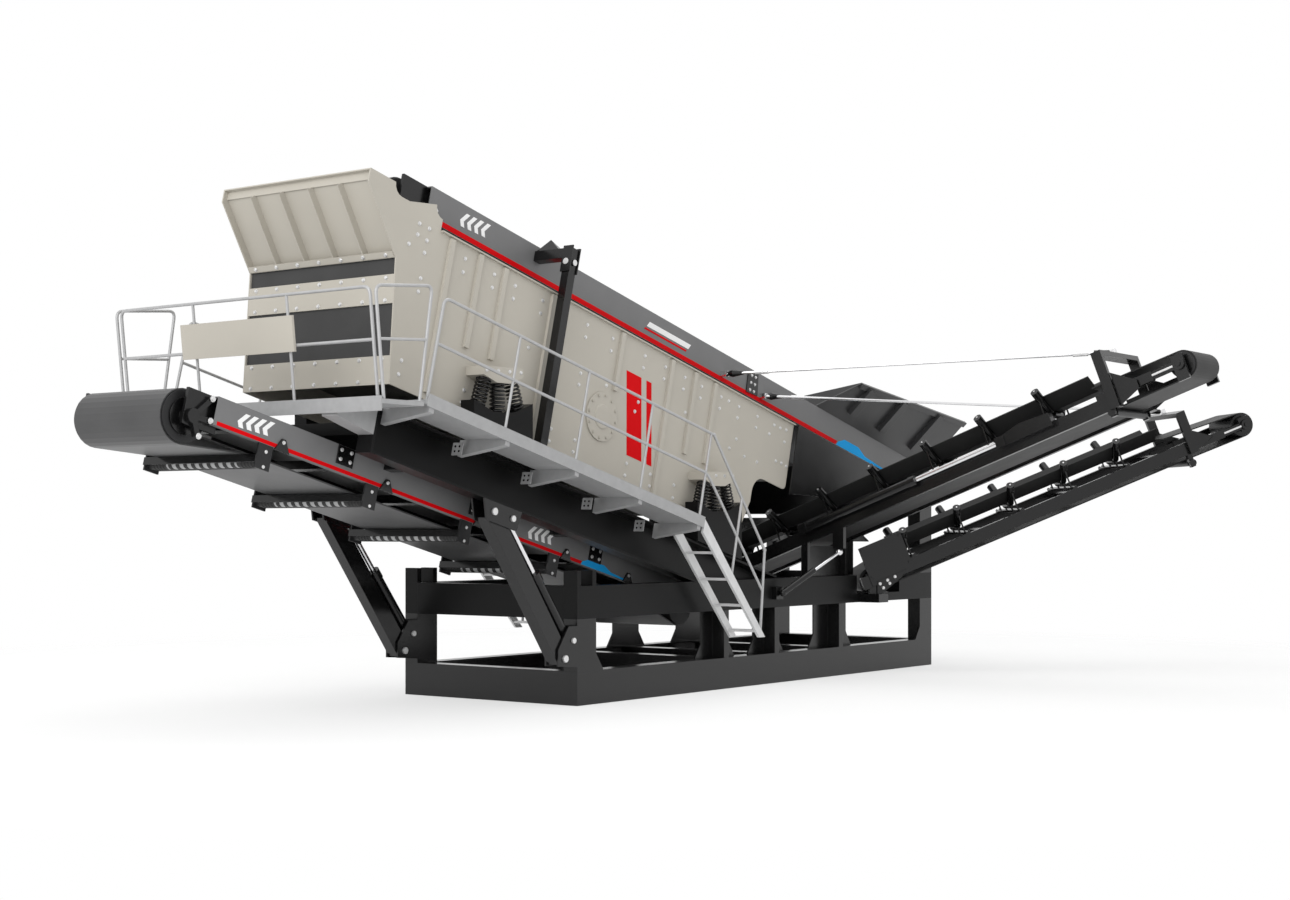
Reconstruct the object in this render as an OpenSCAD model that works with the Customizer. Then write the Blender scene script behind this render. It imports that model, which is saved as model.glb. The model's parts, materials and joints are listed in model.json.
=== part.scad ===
// Skid-mounted vibrating screening plant: an inclined screen box on coil springs,
// a feed conveyor over it, a fines conveyor under it and two outlet conveyors.
// Millimetres, +Z up, origin on the ground at the middle of the skid, +X towards the feed hopper.

/* [Slope] */
// Slope of the screen, chassis, walkways, feed conveyor and fines conveyor, degrees
incline = 14.2; // [13.6:0.1:14.8]
// Height of the chassis top line above the ground at the middle of the skid
chassis_z = 1194; // [1180:1:1210]

/* [Skid] */
// Length of the skid
skid_l = 7166; // [7000:1:7300]
// Width of the skid over the long beams
skid_w = 2286; // [2240:1:2330]
// Height of the base beams
base_h = 333; // [280:1:360]
// Flange width of the skid beams and depth of the posts
beam_w = 170; // [150:1:180]
// Plate thickness of the skid beams and posts
beam_t = 16; // [12:1:20]
// Height of the underside of the upper beams
upper_z = 844; // [800:1:870]
// Height of the upper beams
upper_h = 321; // [290:1:340]
// Width of the corner posts along the skid
post_w = 300; // [260:1:340]

/* [Chassis] */
// Depth of the inclined chassis beams
chassis_h = 420; // [380:1:450]
// Width of the inclined chassis beams
chassis_w = 180; // [160:1:190]
// Distance from the middle of the skid to the upper end of the chassis, along the slope
chassis_reach = 6500; // [6300:1:6600]
// Outer width over the chassis beams
chassis_span = 2260; // [2240:1:2280]

/* [Screen box] */
// Width over the side plates
screen_w = 1894; // [1870:1:1900]
// Thickness of the side plates
plate_t = 14; // [10:1:16]
// Depth of the side plates, rim to lower edge
plate_h = 1550; // [1500:1:1560]
// Height of the rim above the chassis top line, square to the slope
rim_n = 1833; // [1800:1:1850]
// Lower end of the side plates, along the slope
screen_low_s = 210; // [150:1:230]
// Foot of the rear wall, along the slope
rear_s = -6242; // [-6300:1:-6200]
// How far the top of the rear wall leans back
rear_lean = 193; // [150:1:220]
// How far the feed hood stands out beyond the rear wall
hood_reach = 485; // [420:1:520]
// Height of the top deck above the chassis top line
top_deck_n = 1150; // [1110:1:1180]
// Height of the lower deck above the chassis top line
low_deck_n = 600; // [560:1:640]

/* [Springs] */
// Outside diameter of a coil
coil_d = 150; // [130:1:160]
// Length of a coil
coil_h = 270; // [250:1:280]
// Angle between neighbouring coils of a fan, degrees
coil_fan = 20; // [15:0.5:22]
// Distance between neighbouring coils at their tops
coil_pitch = 190; // [180:1:200]
// Height of the middle coil's foot above the chassis top line, plumb
pedestal_h = 417; // [390:1:430]
// Place of the upper spring group along the skid
upper_spring_x = -4700; // [-4750:1:-4650]
// Place of the lower spring group along the skid
lower_spring_x = -1170; // [-1220:1:-1120]

/* [Feed conveyor] */
// Width over the side panels
feed_w = 1320; // [1300:1:1340]
// Height of the side panels
feed_h = 325; // [300:1:340]
// Height of the panels' lower edge above the chassis top line
feed_n = 2000; // [1980:1:2020]
// Upper end of the panels, along the slope
feed_head_s = -5869; // [-5900:1:-5850]
// Lower end of the panels, along the slope
feed_tail_s = 4250; // [4200:1:4300]
// Radius of the head drum over the belt
feed_drum_r = 195; // [180:1:205]
// Room between a side panel and the feed belt
feed_belt_room = 160; // [150:1:180]
// Height of the hopper wings, along their slope
wing_h = 800; // [760:1:840]
// Lean of the hopper wings from upright, degrees
wing_lean = 40; // [35:1:45]

/* [Fines conveyor] */
// Width over the side panels
fines_w = 1430; // [1400:1:1450]
// Height of the side panels
fines_h = 240; // [220:1:260]
// Depth of the panels' lower edge below the chassis top line
fines_n = -570; // [-580:1:-560]
// Head drum of the fines conveyor, along the slope
fines_head_s = -8070; // [-8150:1:-8000]
// Tail drum of the fines conveyor, along the slope
fines_tail_s = -958; // [-1000:1:-900]
// Radius of the drums over the belt
fines_drum_r = 232; // [220:1:240]
// Room between a side panel and the fines belt
fines_belt_room = 170; // [160:1:180]

/* [Outlet conveyors] */
// Width over the stringers of an outlet conveyor
outlet_w = 900; // [860:1:920]
// Depth of the stringers
stringer_h = 152; // [140:1:165]
// Width of the outlet belts on the drums
outlet_belt_w = 620; // [580:1:640]
// Radius of the outlet drums over the belt
outlet_drum_r = 150; // [140:1:155]
// Slope of the side conveyor, degrees
side_rise = 20.6; // [20:0.1:21]
// Length of the side conveyor between drum centres
side_l = 6470; // [6400:1:6550]
// Place of the side conveyor along the skid
side_x = 1150; // [1130:1:1170]
// Tail drum of the side conveyor across the skid
side_tail_y = 550; // [530:1:570]
// Height of the tail drum of the side conveyor
side_tail_z = 1120; // [1110:1:1130]
// Slope of the tail conveyor, degrees
tail_rise = 22; // [21.5:0.1:22.5]
// Length of the tail conveyor between drum centres
tail_l = 5037; // [4900:1:5150]
// Swing of the tail conveyor out of the skid's long axis, degrees
tail_swing = 45; // [44:0.5:46]
// Distance between idlers
idler_pitch = 720; // [680:1:760]

/* [Walkways] */
// Width over the walkways
walk_w = 3380; // [3340:1:3400]
// Height of a toe plate
toe_h = 110; // [100:1:130]
// Height of the railings above the walkway
rail_h = 960; // [900:1:1000]
// Diameter of the rail tubes
rail_d = 36; // [32:1:42]
// Distance between railing posts
rail_pitch = 1033; // [1000:1:1040]

/* [Hidden] */
$fn = 32;

black = [0.12, 0.12, 0.13];
beige = [0.75, 0.72, 0.67];
grey = [0.44, 0.44, 0.44];
rubber = [0.2, 0.2, 0.2];
galvanised = [0.62, 0.62, 0.61];
bright = [0.85, 0.85, 0.85];

half_l = skid_l / 2;
half_w = skid_w / 2;
skid_top = upper_z + upper_h;

// Height of a line that lies n above the chassis top line, at a place x along the skid
function slope_z(x, n) = chassis_z + (n - x * sin(incline)) / cos(incline);
// Place along the skid of a point of the slope frame
function slope_x(s, n) = s * cos(incline) + n * sin(incline);
// Point of the slope frame in the skid's frame
function slope_point(s, y, n) = [slope_x(s, n), y, chassis_z - s * sin(incline) + n * cos(incline)];
// Points along an arc
function arc(cx, cy, r, from, to, steps = 6) =
  [for (i = [0:steps]) let (a = from + (to - from) * i / steps) [cx + r * cos(a), cy + r * sin(a)]];

// The slope frame: x runs downhill from the middle of the skid, z is square to the chassis top line
module slope() translate([0, 0, chassis_z]) rotate([0, incline, 0]) children();
module both_sides() { children(); mirror([0, 1, 0]) children(); }
module block(x, y, z) translate([x[0], y[0], z[0]]) cube([x[1] - x[0], y[1] - y[0], z[1] - z[0]]);
// Plate with an outline in the X-Z plane, from y to y + t
module side_plate(points, y, t) translate([0, y + t, 0]) rotate([90, 0, 0]) linear_extrude(t)
  polygon(points);
// Round bar or square tube from one point to another
module aim(p, q) {
  d = q - p;
  translate(p) rotate([0, acos(d[2] / norm(d)), atan2(d[1], d[0])]) children();
}
module rod(p, q, d) aim(p, q) cylinder(d = d, h = norm(q - p));
module strut(p, q, w, d) aim(p, q) translate([-w / 2, -d / 2, 0]) cube([w, d, norm(q - p)]);
// Roller across the conveyor
module roller(x, z, d, w) translate([x, w / 2, z]) rotate([90, 0, 0]) cylinder(d = d, h = w);
// Outline of a belt loop round two drums, inset by t
// The upper run lies at height carry[2] from carry[0] to carry[1], the lower one at back[2]
function belt_ring(x0, x1, r, carry, back, t) = let (
  q = t > 0 ? (r - t) / cos(90 / drum_steps + 1) : r,
  a = leave(x0, q, carry[0], carry[2] - t, 1), b = leave(x0, q, back[0], back[2] + t, -1) + 360,
  c = leave(x1, q, back[1], back[2] + t, 1) - 360, d = leave(x1, q, carry[1], carry[2] - t, -1)) concat(
  arc(x0, 0, q, a, b, drum_steps), [[back[0], back[2] + t], [back[1], back[2] + t]],
  arc(x1, 0, q, c > -180 ? c : c + 360, d, drum_steps),
    [[carry[1], carry[2] - t], [carry[0], carry[2] - t]]);
// Angle on a drum at which a belt that runs to a point leaves it
function leave(x, r, px, pz, side) = let (far = atan2(pz, px - x)) (px < x && far < 0 ? far + 360 : far)
  + side * acos(r / norm([px - x, pz]));
module belt(x0, x1, z, r, w, carry, back) translate([0, w / 2, z]) rotate([90, 0, 0]) linear_extrude(w)
  difference() {
  polygon(belt_ring(x0, x1, r, carry, back, 0));
  polygon(belt_ring(x0, x1, r, carry, back, belt_t));
}
drum_steps = 14;
seat_gap = 0.3;
belt_t = 14;
drum_gap = 0.4;

// Skid
post_x = [-half_l, -1270, -260, 1010, half_l - post_w];
post_len = [post_w, 520, 500, 730, post_w];
web_y = half_w - beam_w;
gusset_w = 115;
gusset_h = 165;

module skid_long_beams() color(black) both_sides() {
  difference() {
    block([-half_l, half_l], [web_y, half_w], [0, base_h]);
    block([-half_l + beam_t, half_l - beam_t], [web_y - 1, half_w - beam_t], [beam_t, base_h - beam_t]);
  }
}

cross_x = [-half_l, -1100, -100, 1250, half_l - beam_w];
module skid_cross_beams() color(black) {
  for (x = cross_x) {
    difference() {
      block([x, x + beam_w], [-web_y, web_y], [0, base_h]);
      block([x + (x < 0 ? beam_t : -1), x + beam_w + (x < 0 ? 1 : -beam_t)], [-web_y - 1, web_y + 1],
        [beam_t, base_h - beam_t]);
    }
  }
}

// Post of H section between the base beam and the upper beam, with gussets at its foot
module post(x, len, front = 90) {
  mid = x + len / 2;
  block([x, x + len], [web_y, web_y + beam_t], [base_h, upper_z]);
  block([mid - front / 2, mid + front / 2], [web_y, half_w], [base_h, upper_z]);
  for (side = [-1, 1]) {
    foot = side < 0 ? x : x + len;
    side_plate([[foot, base_h], [foot + side * gusset_w, base_h], [foot, base_h + gusset_h]],
      web_y, beam_t);
  }
}
module corner_post(x, out) {
  block([x, x + post_w], [web_y, half_w], [base_h, upper_z]);
  foot = out < 0 ? x + post_w : x;
  side_plate([[foot, base_h], [foot - out * gusset_w, base_h], [foot, base_h + gusset_h]],
    half_w - beam_t, beam_t);
}
module skid_posts() color(black) both_sides() {
  corner_post(-half_l, -1);
  corner_post(half_l - post_w, 1);
  for (i = [1:3]) post(post_x[i], post_len[i]);
}

low_beam_h = 100;
low_beam_x = [post_x[3] + post_len[3], 2760];
module skid_upper_beams() color(black) {
  block([-half_l, half_l], [web_y, half_w], [upper_z, skid_top]);
  block([-half_l, low_beam_x[0]], [-half_w, -web_y], [upper_z, skid_top]);
  block([low_beam_x[0], low_beam_x[1]], [-half_w, -web_y], [upper_z, upper_z + low_beam_h]);
  block([low_beam_x[1], half_l], [-half_w, -web_y], [upper_z, skid_top]);
}

lug_w = 60;
lug_h = 150;
upper_cross_x = [-half_l, -100, half_l - beam_w];
module skid_upper_cross_beams() color(black) {
  for (x = upper_cross_x) block([x, x + beam_w], [-web_y, web_y], [upper_z, skid_top]);
  both_sides() for (x = [-half_l, -half_l + post_w - lug_w])
    block([x, x + lug_w], [web_y, half_w], [skid_top, skid_top + lug_h]);
}

// Tall posts under the low end of the feed conveyor
transom_h = 160;
tall_x = half_l - post_w;
tall_n = feed_n - transom_h;
module tall_posts() color(black) both_sides() side_plate([[tall_x, skid_top], [half_l, skid_top],
  [half_l, slope_z(half_l, tall_n)], [tall_x, slope_z(tall_x, tall_n)]], web_y, beam_w);

// Chassis
beam_y = chassis_span / 2 - chassis_w;
chassis_t = 24;
module chassis_beams() color(black) both_sides() difference() {
  slope() difference() {
    block([-chassis_reach, 0], [beam_y, beam_y + chassis_w], [-chassis_h, 0]);
    block([-chassis_reach + chassis_t, 1], [beam_y + chassis_t, beam_y + chassis_w + 1],
      [-chassis_h + chassis_t, -chassis_t]);
  }
  block([-half_l, half_l], [0, half_w + 1], [-1, skid_top]);
}

chassis_cross_s = [-6200, -4400, -2600, -800];
chassis_cross_d = 120;
module chassis_cross_members() color(black) slope()
  for (s = chassis_cross_s) block([s, s + chassis_cross_d], [-beam_y, beam_y],
    [-chassis_cross_d - 40, -40]);

// Springs: a fan of coils about a plumb middle one
fan_r = coil_pitch / (2 * sin(coil_fan / 2));
spring_y = 1085;
pedestal_y = [screen_w / 2 + 60, chassis_span / 2 + 40];
spring_x = [upper_spring_x, lower_spring_x];
function foot_z(x) = slope_z(x, 0) + pedestal_h;
function top_z(x) = foot_z(x) + coil_h;
// Places one child at each coil of a group, at the coil's foot and along its axis
module at_coils(x) for (i = [-1:1]) translate([x, spring_y, top_z(x) + fan_r])
  rotate([0, -i * coil_fan, 0])
  translate([0, 0, -fan_r - coil_h]) children();
// Corners of the seat line of a fan at a radius, from left to right
function fan_line(x, r) = [for (i = [-1.5, -0.5, 0.5, 1.5])
  [x + r / cos(coil_fan / 2) * sin(i * coil_fan),
    top_z(x) + fan_r - r / cos(coil_fan / 2) * cos(i * coil_fan)]];

module pedestal(x) {
  seat = fan_line(x, fan_r + coil_h);
  side_plate(concat([[seat[0][0], slope_z(seat[0][0], seat_gap)]], seat,
    [[seat[3][0], slope_z(seat[3][0], seat_gap)]]),
    pedestal_y[0], pedestal_y[1] - pedestal_y[0]);
}
module spring_pedestals() color(black) both_sides() for (x = spring_x) pedestal(x);

// One coil: a round wire swept along a helix with half a flat turn at each end
coil_wire = 20;
coil_turns = 6.5;
coil_steps = 9;
wire_sides = 6;
coil_rings = floor(coil_turns * coil_steps);
wire_half = coil_wire / 2 * sin(60);
function coil_z(i) = wire_half + seat_gap + (coil_h - 2 * wire_half - 2 * seat_gap)
  * min(1, max(0, (i / coil_steps - 0.5) / (coil_turns - 1)));
function coil_point(i, j) = let (a = 360 * i / coil_steps, b = 360 * j / wire_sides,
  r = (coil_d - coil_wire) / 2 + coil_wire / 2 * cos(b))
  [r * cos(a), r * sin(a), coil_z(i) + coil_wire / 2 * sin(b)];
module coil() polyhedron(
  points = [for (i = [0:coil_rings], j = [0:wire_sides - 1]) coil_point(i, j)],
  faces = concat(
    [[for (j = [0:wire_sides - 1]) j]],
    [for (i = [0:coil_rings - 1], j = [0:wire_sides - 1])
      [i * wire_sides + j, (i + 1) * wire_sides + j, (i + 1) * wire_sides + (j + 1) % wire_sides,
        i * wire_sides + (j + 1) % wire_sides]],
    [[for (j = [wire_sides - 1:-1:0]) coil_rings * wire_sides + j]]));
module coil_springs() color(rubber) both_sides() for (x = spring_x) at_coils(x) coil();

bracket_h = 150;
module spring_bracket(x) {
  seat = fan_line(x, fan_r);
  side_plate(concat(seat, [[seat[3][0], top_z(x) + bracket_h], [seat[0][0], top_z(x) + bracket_h]]),
    screen_w / 2, pedestal_y[1] - screen_w / 2);
}
module spring_brackets() color(beige) both_sides() for (x = spring_x) spring_bracket(x);

// Support legs from the skid's corner to the chassis
bracket_plate = 20;
leg_y = half_w - beam_w / 2;
leg_d = beam_w - 2 * bracket_plate;
leg_w = 190;
leg_pin_n = -chassis_h - 90;
leg_foot = [-half_l - 190, leg_y, 470];
leg_top_s = -half_l - 1247;
cylinder_top_s = leg_top_s + 270;
leg_top = slope_point(leg_top_s, leg_y, leg_pin_n);
cylinder_foot = [-half_l - 62, leg_y, 640];
cylinder_top = slope_point(cylinder_top_s, leg_y, leg_pin_n);
barrel_d = 110;
rod_d = 60;
eye_d = 100;
barrel_share = 0.55;
module leg_struts() color(black) both_sides() strut(leg_foot, leg_top, leg_w, leg_d);

module leg_brackets() color(black) both_sides()
  for (y = [leg_y - leg_d / 2 - bracket_plate, leg_y + leg_d / 2]) {
    side_plate([[-half_l, 380], [-half_l, 780], [-half_l - 130, 780], [-half_l - 290, 560],
      [-half_l - 290, 400]],
      y, bracket_plate);
    slope() side_plate([[leg_top_s - 160, -chassis_h], [cylinder_top_s + 120, -chassis_h],
      [cylinder_top_s + 80, leg_pin_n - 100], [leg_top_s - 80, leg_pin_n - 100]],
      y, bracket_plate);
  }

// Cylinder eye across the bracket plates
module eye(p, d, w) translate(p + [0, w / 2, 0]) rotate([90, 0, 0]) cylinder(d = d, h = w);
module cylinder_barrels() color(black) {
  both_sides() {
    rod(cylinder_foot, cylinder_foot + barrel_share * (cylinder_top - cylinder_foot), barrel_d);
    eye(cylinder_foot, eye_d, leg_d);
  }
  rod(lift_foot, lift_foot + barrel_share * (lift_top - lift_foot), lift_d);
  translate(lift_foot) sphere(d = lift_eye_d);
  fold_barrel();
}
module cylinder_rods() color(bright) {
  both_sides() {
    rod(cylinder_foot + barrel_share * (cylinder_top - cylinder_foot), cylinder_top, rod_d);
    eye(cylinder_top, eye_d, leg_d);
  }
  rod(lift_foot + barrel_share * (lift_top - lift_foot), lift_top, lift_d / 2);
  translate(lift_top) sphere(d = lift_eye_d);
  fold_rod();
}

// Screen box
inner_w = screen_w - 2 * plate_t;
plate_low_n = rim_n - plate_h;
wall_top = [rear_s - rear_lean, rim_n - 443];
hood_low = [wall_top[0] - hood_reach, wall_top[1] + 527];
hood_top_n = rim_n + 205;
notch_n = rim_n - 783;
notch_r = 200;
notch_s = screen_low_s - 660;
screen_outline = concat(
  [[rear_s, plate_low_n], [screen_low_s - 837, plate_low_n], [notch_s, notch_n - notch_r - 106]],
  arc(notch_s + notch_r, notch_n - notch_r, notch_r, 180, 90),
  arc(screen_low_s - 60, notch_n + 60, 60, -90, 0, 3),
  [[screen_low_s, rim_n]],
  [[rear_s + 297, rim_n]],
  arc(rear_s + 297, rim_n + 104 + 104, 104, -90, -180, 4),
  [[rear_s - 150, rim_n + 104]],
  arc(rear_s - 393 + 140, rim_n + 205, 101, -90, -180, 4),
  [[hood_low[0], hood_top_n], hood_low, wall_top]
);

rib_s = [-5817, -5415, -5054, -4311, -3166, -2279, -1846, -1464];
rib_w = 60;
rib_d = 30;
rib_clear = 60;
function rib_foot(s) = let (x = slope_x(s, rim_n - 800))
  abs(s + rib_w / 2 - exciter_s) < exciter_r + rib_clear ? exciter_n + exciter_r + rib_clear
  : min([for (c = spring_x) abs(x - c)]) < 640 ? low_deck_n + 300 : plate_low_n + rib_clear;
module screen_side_plates() color(beige) both_sides() slope() {
  side_plate(screen_outline, inner_w / 2, plate_t);
  for (s = rib_s) block([s, s + rib_w], [screen_w / 2 - 1, screen_w / 2 + rib_d],
    [rib_foot(s), rim_n - rib_clear / 2]);
  block([rear_s + 300, screen_low_s], [screen_w / 2 - 1, screen_w / 2 + rib_d], [rim_n - plate_t, rim_n]);
}

// Exciter across the middle of the box, with a round cover on each side plate
exciter_s = -3268;
exciter_n = 878;
exciter_r = 250;
exciter_out = 15;
exciter_tube_d = 300;
module exciter_covers() color(beige) slope() both_sides()
  translate([exciter_s, screen_w / 2 + exciter_out, exciter_n])
  rotate([90, 0, 0]) cylinder(r = exciter_r, h = exciter_out);
module exciter_tube() color(beige) slope() roller(exciter_s, exciter_n, exciter_tube_d, inner_w);

// Feed hood: a panel set back between the side plates, with ribs out to their edge
hood_t = 12;
hood_d = 70;
hood_ribs = 4;
module screen_hood() color(beige) slope() {
  lean = atan2(hood_reach, hood_low[1] - wall_top[1]);
  length = norm(hood_low - wall_top);
  translate([wall_top[0], 0, wall_top[1]]) rotate([0, -lean, 0]) {
    block([hood_d, hood_d + hood_t], [-inner_w / 2, inner_w / 2], [0, length]);
    block([0, hood_d + hood_t], [-inner_w / 2, inner_w / 2], [0, hood_t]);
    for (i = [1:hood_ribs]) {
      y = (i / (hood_ribs + 1) - 0.5) * inner_w;
      block([0, hood_d + hood_t], [y - hood_t / 2, y + hood_t / 2], [0, length]);
    }
  }
  block([hood_low[0] + hood_d * 0.64, hood_low[0] + hood_d * 0.64 + hood_t], [-inner_w / 2, inner_w / 2],
    [hood_low[1] + hood_d / 2, hood_top_n]);
  block([hood_low[0], hood_low[0] + hood_d * 0.64 + hood_t], [-inner_w / 2, inner_w / 2],
    [hood_top_n - hood_t, hood_top_n]);
}

// Frame of the rear wall: z runs up the wall from its foot
module rear_wall_frame() slope() translate([rear_s, 0, plate_low_n])
  rotate([0, -atan2(rear_lean, wall_top[1] - plate_low_n), 0]) children();
wall_l = norm(wall_top - [rear_s, plate_low_n]);
wall_t = 20;
wall_bands = [[0, 255], [720, 980]];
module screen_rear_wall() color(beige) rear_wall_frame()
  for (band = wall_bands) block([0, wall_t], [-inner_w / 2, inner_w / 2], band);
module screen_curtains() color(rubber) rear_wall_frame() {
  block([wall_t, 2 * wall_t], [-inner_w / 2, inner_w / 2],
    [wall_bands[0][1] - 40, wall_bands[1][0] + 40]);
  block([wall_t, 2 * wall_t], [-inner_w / 2, inner_w / 2], [wall_bands[1][1] - 40, wall_l + 12]);
}

deck_t = 40;
deck_start_s = rear_s + 120;
module top_deck() color(galvanised) slope()
  block([deck_start_s, screen_low_s - 20], [-inner_w / 2, inner_w / 2],
    [top_deck_n, top_deck_n + deck_t]);
module lower_deck() color(galvanised) slope()
  block([deck_start_s, notch_s - 40], [-inner_w / 2, inner_w / 2], [low_deck_n, low_deck_n + deck_t]);

cross_tube_d = 140;
cross_tube_count = 6;
cross_tube_first = 400;
cross_tube_pitch = 960;
module deck_cross_tubes() color(beige) slope() for (n = [top_deck_n, low_deck_n],
  i = [0:cross_tube_count - 1])
  roller(deck_start_s + cross_tube_first + i * cross_tube_pitch, n - cross_tube_d / 2 - drum_gap,
    cross_tube_d, inner_w);

// Discharge chute past the low end of the screen, and the hopper between screen and fines belt
chute_y = 985;
chute_t = 12;
chute_gap = 30;
chute_end_x = 2300;
chute_top_n = feed_n - 170;
chute_low_n = 1010;
chute_low_z = 2080;
chute_leg_x = [1640, 1740];
chute_step_x = 1900;
chute_step_z = 1750;
chute_back_z = [1900, 2500];
slide_z = [1840, 1560];
chute_head = [slope_point(screen_low_s + chute_gap, 0, chute_low_n),
  slope_point(screen_low_s + chute_gap, 0, chute_top_n)];
chute_top = [[chute_head[1][0], chute_head[1][2]], [chute_end_x, slope_z(chute_end_x, chute_top_n)]];
module discharge_chute() color(black) {
  side_plate(concat([[chute_head[0][0], chute_head[0][2]]], chute_top,
    [[chute_end_x, chute_step_z], [chute_step_x, chute_step_z],
    [chute_step_x, skid_top], [chute_leg_x[0], skid_top],
      [chute_leg_x[0], chute_low_z]]), -chute_y - chute_t, chute_t);
  side_plate(concat([[chute_head[0][0], chute_head[0][2]]], chute_top,
    [[chute_end_x, skid_top], [chute_head[0][0], skid_top]]),
    chute_y, chute_t);
  // Back plate and the slide under the lower deck
  block([chute_end_x - chute_t, chute_end_x], [-chute_y + seat_gap, chute_y - seat_gap], chute_back_z);
  slide_end_x = chute_end_x - chute_t - seat_gap;
  side_plate([[chute_leg_x[1], slide_z[0]], [chute_leg_x[1], slide_z[0] + chute_t],
    [slide_end_x, slide_z[1] + chute_t], [slide_end_x, slide_z[1]]], -chute_y + seat_gap,
      2 * (chute_y - seat_gap));
}

hopper_n = [-300, -10];
hopper_y = fines_w / 2 - fines_belt_room - 60;
hopper_edge = 60;
// Leaning plates of one bay, from the chassis beam down to the edge of the belt
module hopper_bay(s) both_sides() translate([s[0], 0, 0]) rotate([90, 0, 90]) linear_extrude(s[1] - s[0])
  polygon([[hopper_y, hopper_n[0]], [hopper_y + chute_t, hopper_n[0]],
    [beam_y, hopper_n[1] - hopper_edge],
    [beam_y, hopper_n[1]]]);
module fines_hopper() color(black) slope() for (i = [0:len(chassis_cross_s) - 2])
  hopper_bay([chassis_cross_s[i] + chassis_cross_d, chassis_cross_s[i + 1]]);

// Feed conveyor
panel_t = 10;
panel_flange = 60;
feed_belt_w = feed_w - 2 * feed_belt_room;
feed_mid_n = feed_n + feed_h - feed_drum_r - 12;
feed_back = -90;
feed_drum_s = [feed_head_s - 258, feed_tail_s - 230];
module channel(s, w, n, h) both_sides() difference() {
  block(s, [w / 2 - panel_flange, w / 2], [n, n + h]);
  block([s[0] - 1, s[1] + 1], [w / 2 - panel_flange - 1, w / 2 - panel_t],
    [n + panel_t, n + h - panel_t]);
}
module feed_panels() color(grey) slope() channel([feed_head_s, feed_tail_s], feed_w, feed_n, feed_h);

feed_cross_count = 8;
feed_cross_d = 80;
bearing_t = 30;
module bearing_plates(s, w, n) both_sides() block(s,
  [w / 2 - panel_flange - bearing_t, w / 2 - panel_flange], n);
module feed_cross_members() color(black) slope() {
  for (i = [0:feed_cross_count - 1]) {
    s = feed_head_s + 300 + i * 1240;
    block([s, s + feed_cross_d], [-feed_w / 2 + panel_t, feed_w / 2 - panel_t],
      [feed_mid_n - feed_cross_d / 2, feed_mid_n + feed_cross_d / 2]);
  }
  bearing_plates([feed_drum_s[0] - 60, feed_head_s + 60], feed_w, [feed_mid_n - 80, feed_n + feed_h]);
  bearing_plates([feed_drum_s[1] - 80, feed_drum_s[1] + 80], feed_w, [feed_n, feed_n + feed_h]);
}
module feed_belt() color(rubber) slope()
  belt(feed_drum_s[0], feed_drum_s[1], feed_mid_n, feed_drum_r, feed_belt_w,
    [feed_drum_s[0] + 500, feed_drum_s[1] - 500, feed_drum_r],
      [feed_drum_s[0] + 700, feed_drum_s[1] - 700, feed_back]);
module feed_drums() color(black) slope() for (s = feed_drum_s) {
  roller(s, feed_mid_n, 2 * (feed_drum_r - belt_t - drum_gap), feed_belt_w + 40);
  roller(s, feed_mid_n, 90, feed_w - 2 * panel_flange - 2 * bearing_t);
}

// Hopper over the feed conveyor's low end: two leaning wings with ribs, a front plate and a back plate
wing_t = 12;
wing_s = [1060, 3850];
wing_front = 430;
wing_ribs = [1650, 2380, 3200];
wing_rib_w = 130;
wing_rib_d = 60;
wing_rim_h = 70;
wing_foot_y = feed_w / 2 - panel_t;
wing_foot_n = feed_n + feed_h + wing_t * sin(wing_lean) + seat_gap;
front_s = wing_s[0] + wing_front;
front_h = wing_h * 0.66;
front_dip = 165;
front_low = 100;
// Height of the wing's rim, along its slope, at a place along the conveyor
function rim_at(s) = front_h + (wing_h - front_h) * (s - front_s) / (wing_s[1] - front_s);
module wing_plate(points, t) rotate([90, 0, 0]) translate([0, 0, -t]) linear_extrude(t) polygon(points);
module wing() translate([0, wing_foot_y, wing_foot_n]) rotate([-wing_lean, 0, 0]) {
  wing_plate([[wing_s[0], 0], [wing_s[1], 0], [wing_s[1], wing_h], [front_s, front_h]], wing_t);
  translate([0, wing_t - 1, 0]) {
    for (s = wing_ribs) block([s, s + wing_rib_w], [0, wing_rib_d], [wing_rib_w, rim_at(s) - 20]);
    wing_plate([[front_s, front_h - wing_rim_h], [wing_s[1], wing_h - wing_rim_h], [wing_s[1], wing_h],
      [front_s, front_h]], wing_rib_d / 2);
  }
}
// Plate across the hopper between two heights above the panels, with its upper edge dipped in the middle
module cross_plate(s, low, high, dip) translate([s, 0, wing_foot_n]) rotate([90, 0, 90]) linear_extrude(wing_t) {
  low_y = wing_foot_y + low * tan(wing_lean) - drum_gap;
  high_y = wing_foot_y + high * tan(wing_lean) - drum_gap;
  polygon([[-low_y, low], [low_y, low], [high_y, high], [0, high - dip], [-high_y, high]]);
}
module feed_hopper() color(black) slope() {
  both_sides() wing();
  cross_plate(front_s, front_low, front_h * cos(wing_lean), front_dip);
  cross_plate(wing_s[1] - wing_t, 0, wing_h * cos(wing_lean), 1);
}

// Portal that carries the feed conveyor's upper half
portal_s = -4280;
portal_w = 100;
portal_y = [1045, 1135];
portal_top_n = feed_n + feed_h - 60;
module feed_portal() color(black) slope() both_sides()
  block([portal_s - portal_w / 2, portal_s + portal_w / 2], portal_y, [0, portal_top_n]);
// Brackets from the portal arms to the panels, and the transom on the tall posts
module feed_transoms() color(black) slope() {
  both_sides() block([portal_s - portal_w / 2, portal_s + portal_w / 2], [feed_w / 2, portal_y[0]],
    [portal_top_n - portal_w, portal_top_n]);
  s = tall_x * cos(incline) - (slope_z(tall_x, tall_n) - chassis_z) * sin(incline);
  block([s, s + post_w], [-half_w, half_w], [tall_n + seat_gap, feed_n]);
}

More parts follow.
